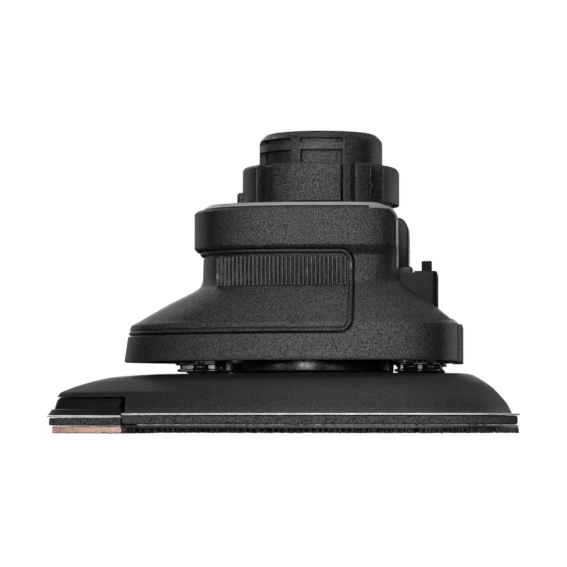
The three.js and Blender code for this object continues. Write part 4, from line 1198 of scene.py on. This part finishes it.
# height, nose, tail, half width, bluntness, how far the corner is eased
PLATEN = [
    (PLATEN_BOTTOM, -69, 67.7, 47.1, 0, 0),
    (8.7, -68, 66.4, 45.8, 0, 1.0),
    (10.8, -67, 64.7, 44.4, 0, 1.0),
    (12.2, -66, 63.4, 43, 0.05, 0.7),
    (13.8, -62, 61.8, 40.8, 0.15, 1.5),
    (15.3, -57, 59.7, 38, 0.3, 1.5),
    (16.5, -51.8, 57.7, 34.8, 0.45, 1.5),
    (17.1, -46.2, 56.5, 32.6, 0.6, 1.5),
    (PLATEN_TOP, -38.5, 55.3, 30, 0.75, 0),
]
HUB_R = 9.56
DUST_HOLE_R, DUST_CIRCLE = 4.0, 18.6
DUST_HOLES = [(HUB_X + DUST_CIRCLE * math.cos(a), DUST_CIRCLE * math.sin(a))
              for a in np.radians(np.arange(30, 360, 60))]
HUB_HOLE_R = 6.5  # through the pad's layers
PLATEN_NOSE_CUT = TIP_SPLIT + 1.3
TIP_ROOF = reach("tip_insert", 2)[1] + 0.06


def iron_rings(levels):
    path = eased([level[:5] for level in levels], [level[5] for level in levels], 6)
    return np.array([lifted(egg_plan(front, rear, half, IRON + (SKIRT - IRON) * blunt, count=150), z)
                     for z, front, rear, half, blunt in path])


def platen():
    piece = mesh_object("platen_form", stacked(iron_rings(PLATEN)))
    cuts = [rod(HUB_R, 4, 16.1, HUB_X, sides=96), rod(7, 4, 20, HUB_X, sides=96)]
    cuts += [rod(DUST_HOLE_R, 4, 20, x, y) for x, y in DUST_HOLES]
    cuts.append(block((-FAR, -FAR, 0), (PLATEN_NOSE_CUT, FAR, TIP_ROOF), 0.5))
    cuts.append(block((-FAR, -6.4, 6.6), (-36.5, 6.4, 9.9), 0.4))
    carve(piece, *cuts)
    finished(piece, PLATEN_LOOK, "platform", ["platen"])


# ---------------- pads
PAD = (TIP_FRONT, PAD_REAR, PAD_HALF)


def iron_pad(inset, z0, z1, edge):
    """A flat layer of the whole pad, held back from the pad's outline by inset"""
    return slab(egg_plan(*PAD, IRON, inset, 220), z0, z1, edge)


def pad_cuts(z0, z1):
    """The holes through one of the pad's layers"""
    cuts = [rod(HUB_HOLE_R, z0 - 1, z1 + 1, HUB_X)]
    return cuts + [rod(DUST_HOLE_R, z0 - 1, z1 + 1, x, y) for x, y in DUST_HOLES]


def tail_off(x, z0, z1):
    """What to cut off everything behind x"""
    return block((x, -FAR, z0 - 2), (FAR, FAR, z1 + 2), 0.1)


def pad_layer(name, node, inset, edge):
    """A flat layer: the tip has its own front share of it, and the main pad the rest, with the holes"""
    z0, z1 = reach(node, 2)
    layer = mesh_object(name, iron_pad(inset, z0, z1, edge))
    if node.startswith("tip_"):
        return carve(layer, tail_off(TIP_SPLIT, z0, z1))
    nose = block((-FAR, -FAR, z0 - 2), (TIP_SPLIT + 0.3, FAR, z1 + 2), 0.1)
    return carve(layer, nose, *pad_cuts(z0, z1))


def diamond_plan(grow):
    """Where the tip's own face lies: the nose and a point that reaches back into the main pad"""
    x = TIP_SPLIT + grow
    return np.array([(-FAR, -FAR), (x, -FAR), (x, -17), (-37 + grow, 0), (x, 17), (x, FAR), (-FAR, FAR)])


def diamond_block(grow):
    plan = diamond_plan(grow)
    return stacked(np.array([lifted(plan, z) for z in (-2, 5)]))


def soft_layer(piece, look, body, node, cell, amount, size, seed):
    """Gives a pad an even skin of small faces, pushed in by up to amount as cut foam or felt is"""
    even = piece.modifiers.new("even", "REMESH")
    even.mode = "VOXEL"
    even.voxel_size = cell * MM
    applied(piece)
    vertices = piece.data.vertices
    normals = [v.normal.copy() for v in vertices]
    for v, normal in zip(vertices, normals):
        wave = noise.noise(v.co / (size * MM) + Vector((seed, seed * 2.0, 0)))
        v.co += normal * ((wave - 0.5) * amount * MM)
    finished(piece, look, body, [node], sharp=70)


def backing_sheets():
    main = pad_layer("backing_laminate_main", "backing_sheet", 0, 0.12)
    finished(main, LAMINATE_LOOK, "platform", ["backing_sheet"])
    tip = pad_layer("backing_laminate_tip", "tip_backing_sheet", 0, 0.12)
    finished(tip, LAMINATE_LOOK, "tip", ["tip_backing_sheet"])


def foam_layers():
    main = pad_layer("foam_layer_main", "foam_pad", 0.55, 0.3)
    soft_layer(main, FOAM_LOOK, "platform", "foam_pad", 0.5, 0.3, 0.9, 3.1)
    tip = pad_layer("foam_layer_tip", "tip_foam", 0.35, 0.3)
    soft_layer(tip, FOAM_LOOK, "tip", "tip_foam", 0.4, 0.3, 0.8, 5.7)


def inside_plan(points, plan):
    """Which points lie in a closed plan"""
    x, y = points[:, 0], points[:, 1]
    inside = np.zeros(len(points), bool)
    for (x0, y0), (x1, y1) in zip(plan, np.roll(plan, -1, 0)):
        crosses = (y0 > y) != (y1 > y)
        with np.errstate(divide="ignore", invalid="ignore"):
            inside ^= crosses & (x < (x1 - x0) * (y - y0) / (y1 - y0) + x0)
    return inside


def staggered(plan, pitch):
    """Rows of places over a plan, every other row shifted by half a pitch"""
    rows = np.arange(-PAD_HALF, PAD_HALF, pitch * 0.87)
    cols = np.arange(TIP_FRONT, PAD_REAR, pitch)
    x, y = np.meshgrid(cols, rows)
    x = x + (np.arange(len(rows)) % 2)[:, None] * pitch / 2
    points = np.column_stack([x.ravel(), y.ravel()])
    return points[inside_plan(points, plan)]


def clear_of_holes(points, margin):
    keep = np.hypot(points[:, 0] - HUB_X, points[:, 1]) > HUB_HOLE_R + margin
    for x, y in DUST_HOLES:
        keep &= np.hypot(points[:, 0] - x, points[:, 1] - y) > DUST_HOLE_R + margin
    return points[keep]


HOOK_TAPE = 0.95  # thickness of the woven tape that carries the hooks


def hook_pad():
    bottom, top = reach("hook_pad", 2)
    tape_bottom = top - HOOK_TAPE
    tape = mesh_object("hook_tape", iron_pad(0.45, tape_bottom, top, 0.2))
    carve(tape, diamond_block(0.3), *pad_cuts(0, 4))
    rim = egg_plan(*PAD, IRON, 0.62, 700)[::3]
    spots = np.concatenate([staggered(egg_plan(*PAD, IRON, 0.75), 1.62), rim])
    spots = clear_of_holes(spots, 0.4)
    spots = spots[~inside_plan(spots, diamond_plan(0.6))]
    spots = spots + rng.normal(0, 0.12, spots.shape)
    spots = spots[inside_plan(spots, egg_plan(*PAD, IRON, 0.5))]
    count = len(spots)
    turn = rng.uniform(0, 2 * np.pi, count)
    lean = rng.uniform(0.15, 0.6, count)
    side = np.column_stack([np.cos(turn), np.sin(turn)])
    roots = np.column_stack([spots, np.full(count, tape_bottom + 0.15)])
    tips = np.column_stack([spots + side * lean[:, None] * 0.5, rng.uniform(bottom + 0.12, bottom + 0.5, count)])
    bends = np.column_stack([side * (lean[:, None] * 0.35), np.zeros(count)])
    points, faces = strands(roots, tips, bends, 0.17)
    points[:, 2] = np.maximum(points[:, 2], bottom)
    piece = mesh_object("hook_bristles", (points, faces), weld=0.0005)
    finished(tape, HOOK_LOOK, "platform", ["hook_pad"])
    finished(piece, HOOK_LOOK, "platform", (), sharp=70)


def tip_felt():
    bottom, top = reach("tip_pad", 2)
    piece = mesh_object("felt_pad_tip", iron_pad(2.1, bottom + 0.05, top, 0.35))
    combine(piece, [diamond_block(-0.1)], "INTERSECT")
    soft_layer(piece, FELT_LOOK, "tip", "tip_pad", 0.35, 0.4, 1.2, 2.3)

    # loose fibres stand out of the felt, the most along its rim
    rim = egg_plan(*PAD, IRON, 2.1, 900)
    rim = rim[inside_plan(rim, diamond_plan(-0.4))]
    rim = np.repeat(rim, 5, 0)
    out = rim - np.array([TIP_SPLIT + 8, 0])
    out /= np.linalg.norm(out, axis=1, keepdims=True)
    field = staggered(egg_plan(*PAD, IRON, 2.4), 0.62)
    field = field[inside_plan(field, diamond_plan(-0.4))]
    edge_roots = np.column_stack([rim, rng.uniform(bottom + 0.25, top - 0.2, len(rim))])
    edge_way = np.column_stack([out, rng.normal(-0.25, 0.5, len(rim))])
    edge_way[:, :2] += rng.normal(0, 0.5, (len(rim), 2))
    field_roots = np.column_stack([field, np.full(len(field), bottom + 0.3)])
    field_way = np.column_stack([rng.normal(0, 0.5, (len(field), 2)), np.full(len(field), -0.6)])
    roots = np.concatenate([edge_roots, field_roots])
    way = np.concatenate([edge_way, field_way])
    way /= np.linalg.norm(way, axis=1, keepdims=True)
    tips = roots + way * rng.uniform(0.25, 0.75, (len(roots), 1))
    tips[:, 2] = np.clip(tips[:, 2], bottom + 0.02, top - 0.05)
    bends = rng.normal(0, 0.1, roots.shape) * [1, 1, 0.3]
    points, faces = strands(roots, tips, bends, 0.035, sides=3, steps=3)
    points[:, 2] = np.maximum(points[:, 2], bottom)
    nap = mesh_object("felt_fibres_tip", (points, faces), weld=0.0002)
    finished(nap, FELT_LOOK, "tip", (), sharp=70)


# ---------------- tip
TIP_LEDGE = 7.2  # the tip's foot ends and its wall starts
TIP_SLANT = math.radians(17)


def tip_insert():
    bottom, top = reach("tip_insert", 2)
    rear = 68.9
    foot = [
        (bottom, -69.8, rear, 47.0, 0, 0),
        (TIP_LEDGE - 0.1, -68.6, rear, 45.8, 0, 0.3),
        (TIP_LEDGE, -68.3, rear, 45.5, 0, 0),
    ]
    wall = [
        (TIP_LEDGE - 0.4, -67.9, rear, 45.1, 0, 0),
        (8.6, -67.4, rear, 44.6, 0, 0.8),
        (top - 0.7, -66.9, rear, 43.9, 0, 0.4),
        (top, -66.0, rear, 43.1, 0, 0),
    ]
    piece = mesh_object("tip_block", stacked(iron_rings(foot)))
    carve(piece, tail_off(TIP_SPLIT, bottom, top))
    upper = mesh_object("tip_wall", stacked(iron_rings(wall)))
    # the upper wall stops a little short of the platen, on a slant
    points, faces = block((TIP_SPLIT + 0.5, -FAR, -6), (FAR, FAR, 8), 0.2)
    points[:, 0] += -0.3 + (points[:, 2] - 4) * math.tan(TIP_SLANT)
    points[:, 2] += 7
    carve(upper, (points, faces))
    weld_on(piece, upper)
    # the tongue that slides into the platen
    weld_on(piece, block((-50, -6, 7), (-37.4, 6, 9.5), 0.4))
    finished(piece, TRIM_LOOK, "tip", ["tip_insert"])


# ---------------- the head
for build in (
    shells, rear_edge_highlights, grip_cover, quick_connect, detent_springs, rear_hood, dust_outlet, latch_button, latch_spring,
    fan_shroud, legs, base_plate, base_screws, case_screws, drive_coupler, cooling_fan, inner_works, platen,
    backing_sheets, foam_layers, hook_pad, tip_felt, tip_insert,
):
    build()

# ---------------- camera
DISTANCE = 0.9
YAW, PITCH = math.radians(4.0), math.radians(2.633)
CAMERA_HEIGHT = 0.003

camera_data = bpy.data.cameras.new("product_camera")
camera_data.sensor_width = 36.0
camera_data.lens = 193.14
camera_data.shift_x = 0.0023
camera_data.clip_start = 0.05
camera = new_object("product_camera", camera_data)
camera.location = (DISTANCE * math.sin(YAW), -DISTANCE * math.cos(YAW), CAMERA_HEIGHT)
camera.rotation_euler = (math.pi / 2 + PITCH, 0, YAW)
bpy.context.scene.camera = camera


# ---------------- studio
def unlit_white(name, strength, diffuse):
    return Look(
        name, Roughness=0.9, Base_Color=(diffuse, diffuse, diffuse, 1), Emission_Color=(1, 1, 1, 1),
        Emission_Strength=strength,
    ).material


def studio_piece(name, work, look, hidden_rays):
    """A piece of the studio, made from a bmesh in metres and unseen by these kinds of ray"""
    mesh = bpy.data.meshes.new(name)
    work.to_mesh(mesh)
    work.free()
    mesh.materials.append(look)
    made = new_object(name, mesh)
    for ray in hidden_rays:
        setattr(made, f"visible_{ray}", False)
    return made


STUDIO_R = 4.0
disc = bmesh.new()
bmesh.ops.create_circle(disc, cap_ends=True, segments=96, radius=STUDIO_R)
floor = studio_piece("studio_floor", disc, unlit_white("floor_white", 1.02, 0.1), ("diffuse", "glossy"))
floor.location.z = -0.0002

CENTRE = Vector((0, 0, 0.045))  # all lights aim here
# name, place, width and height, power
LIGHTS = [
    ("key", (-0.05, -1.25, 0.42), (0.5, 0.5), 8.0),
    ("front", (0.0, -1.3, 0.06), (0.4, 0.25), 2.6),
    ("key_left", (-0.7, -1.0, 0.35), (0.4, 0.5), 4.9),
    ("key_right", (0.7, -1.0, 0.35), (0.4, 0.5), 5.5),
    ("top", (0.0, -0.1, 1.2), (0.7, 0.4), 4.8),
    ("back", (-0.1, 1.3, 0.3), (0.6, 0.4), 4.0),
    ("back_left", (-0.7, 0.9, 0.75), (0.3, 0.5), 2.1),
    ("back_right", (0.7, 0.7, 0.8), (0.4, 0.5), 0.9),
    ("rim_left", (-0.75, 1.0, 0.1), (0.25, 0.7), 0.9),
    ("rim_right", (0.75, 1.0, 0.1), (0.25, 0.7), 1.4),
]
for name, spot, size, power in LIGHTS:
    lamp_data = bpy.data.lights.new(name, "AREA")
    lamp_data.shape = "RECTANGLE"
    lamp_data.size, lamp_data.size_y = size
    lamp_data.energy = power
    lamp = new_object(name, lamp_data)
    lamp.location = spot
    lamp.rotation_euler = (CENTRE - Vector(spot)).to_track_quat("-Z", "Y").to_euler()
    lamp.visible_camera = False

world = bpy.data.worlds.new("studio_world")
world.use_nodes = True
background = world.node_tree.nodes["Background"]
background.inputs["Color"].default_value = (1, 1, 1, 1)
background.inputs["Strength"].default_value = 0.02
bpy.context.scene.world = world

# a white dome behind everything, seen by the camera only
ball = bmesh.new()
bmesh.ops.create_uvsphere(ball, u_segments=48, v_segments=24, radius=STUDIO_R)
ALL_BUT_CAMERA = ("diffuse", "glossy", "transmission", "shadow", "volume_scatter")
dome = studio_piece("studio_dome", ball, unlit_white("dome_white", 1.0, 0.0), ALL_BUT_CAMERA)

bpy.context.scene.view_settings.view_transform = "Standard"
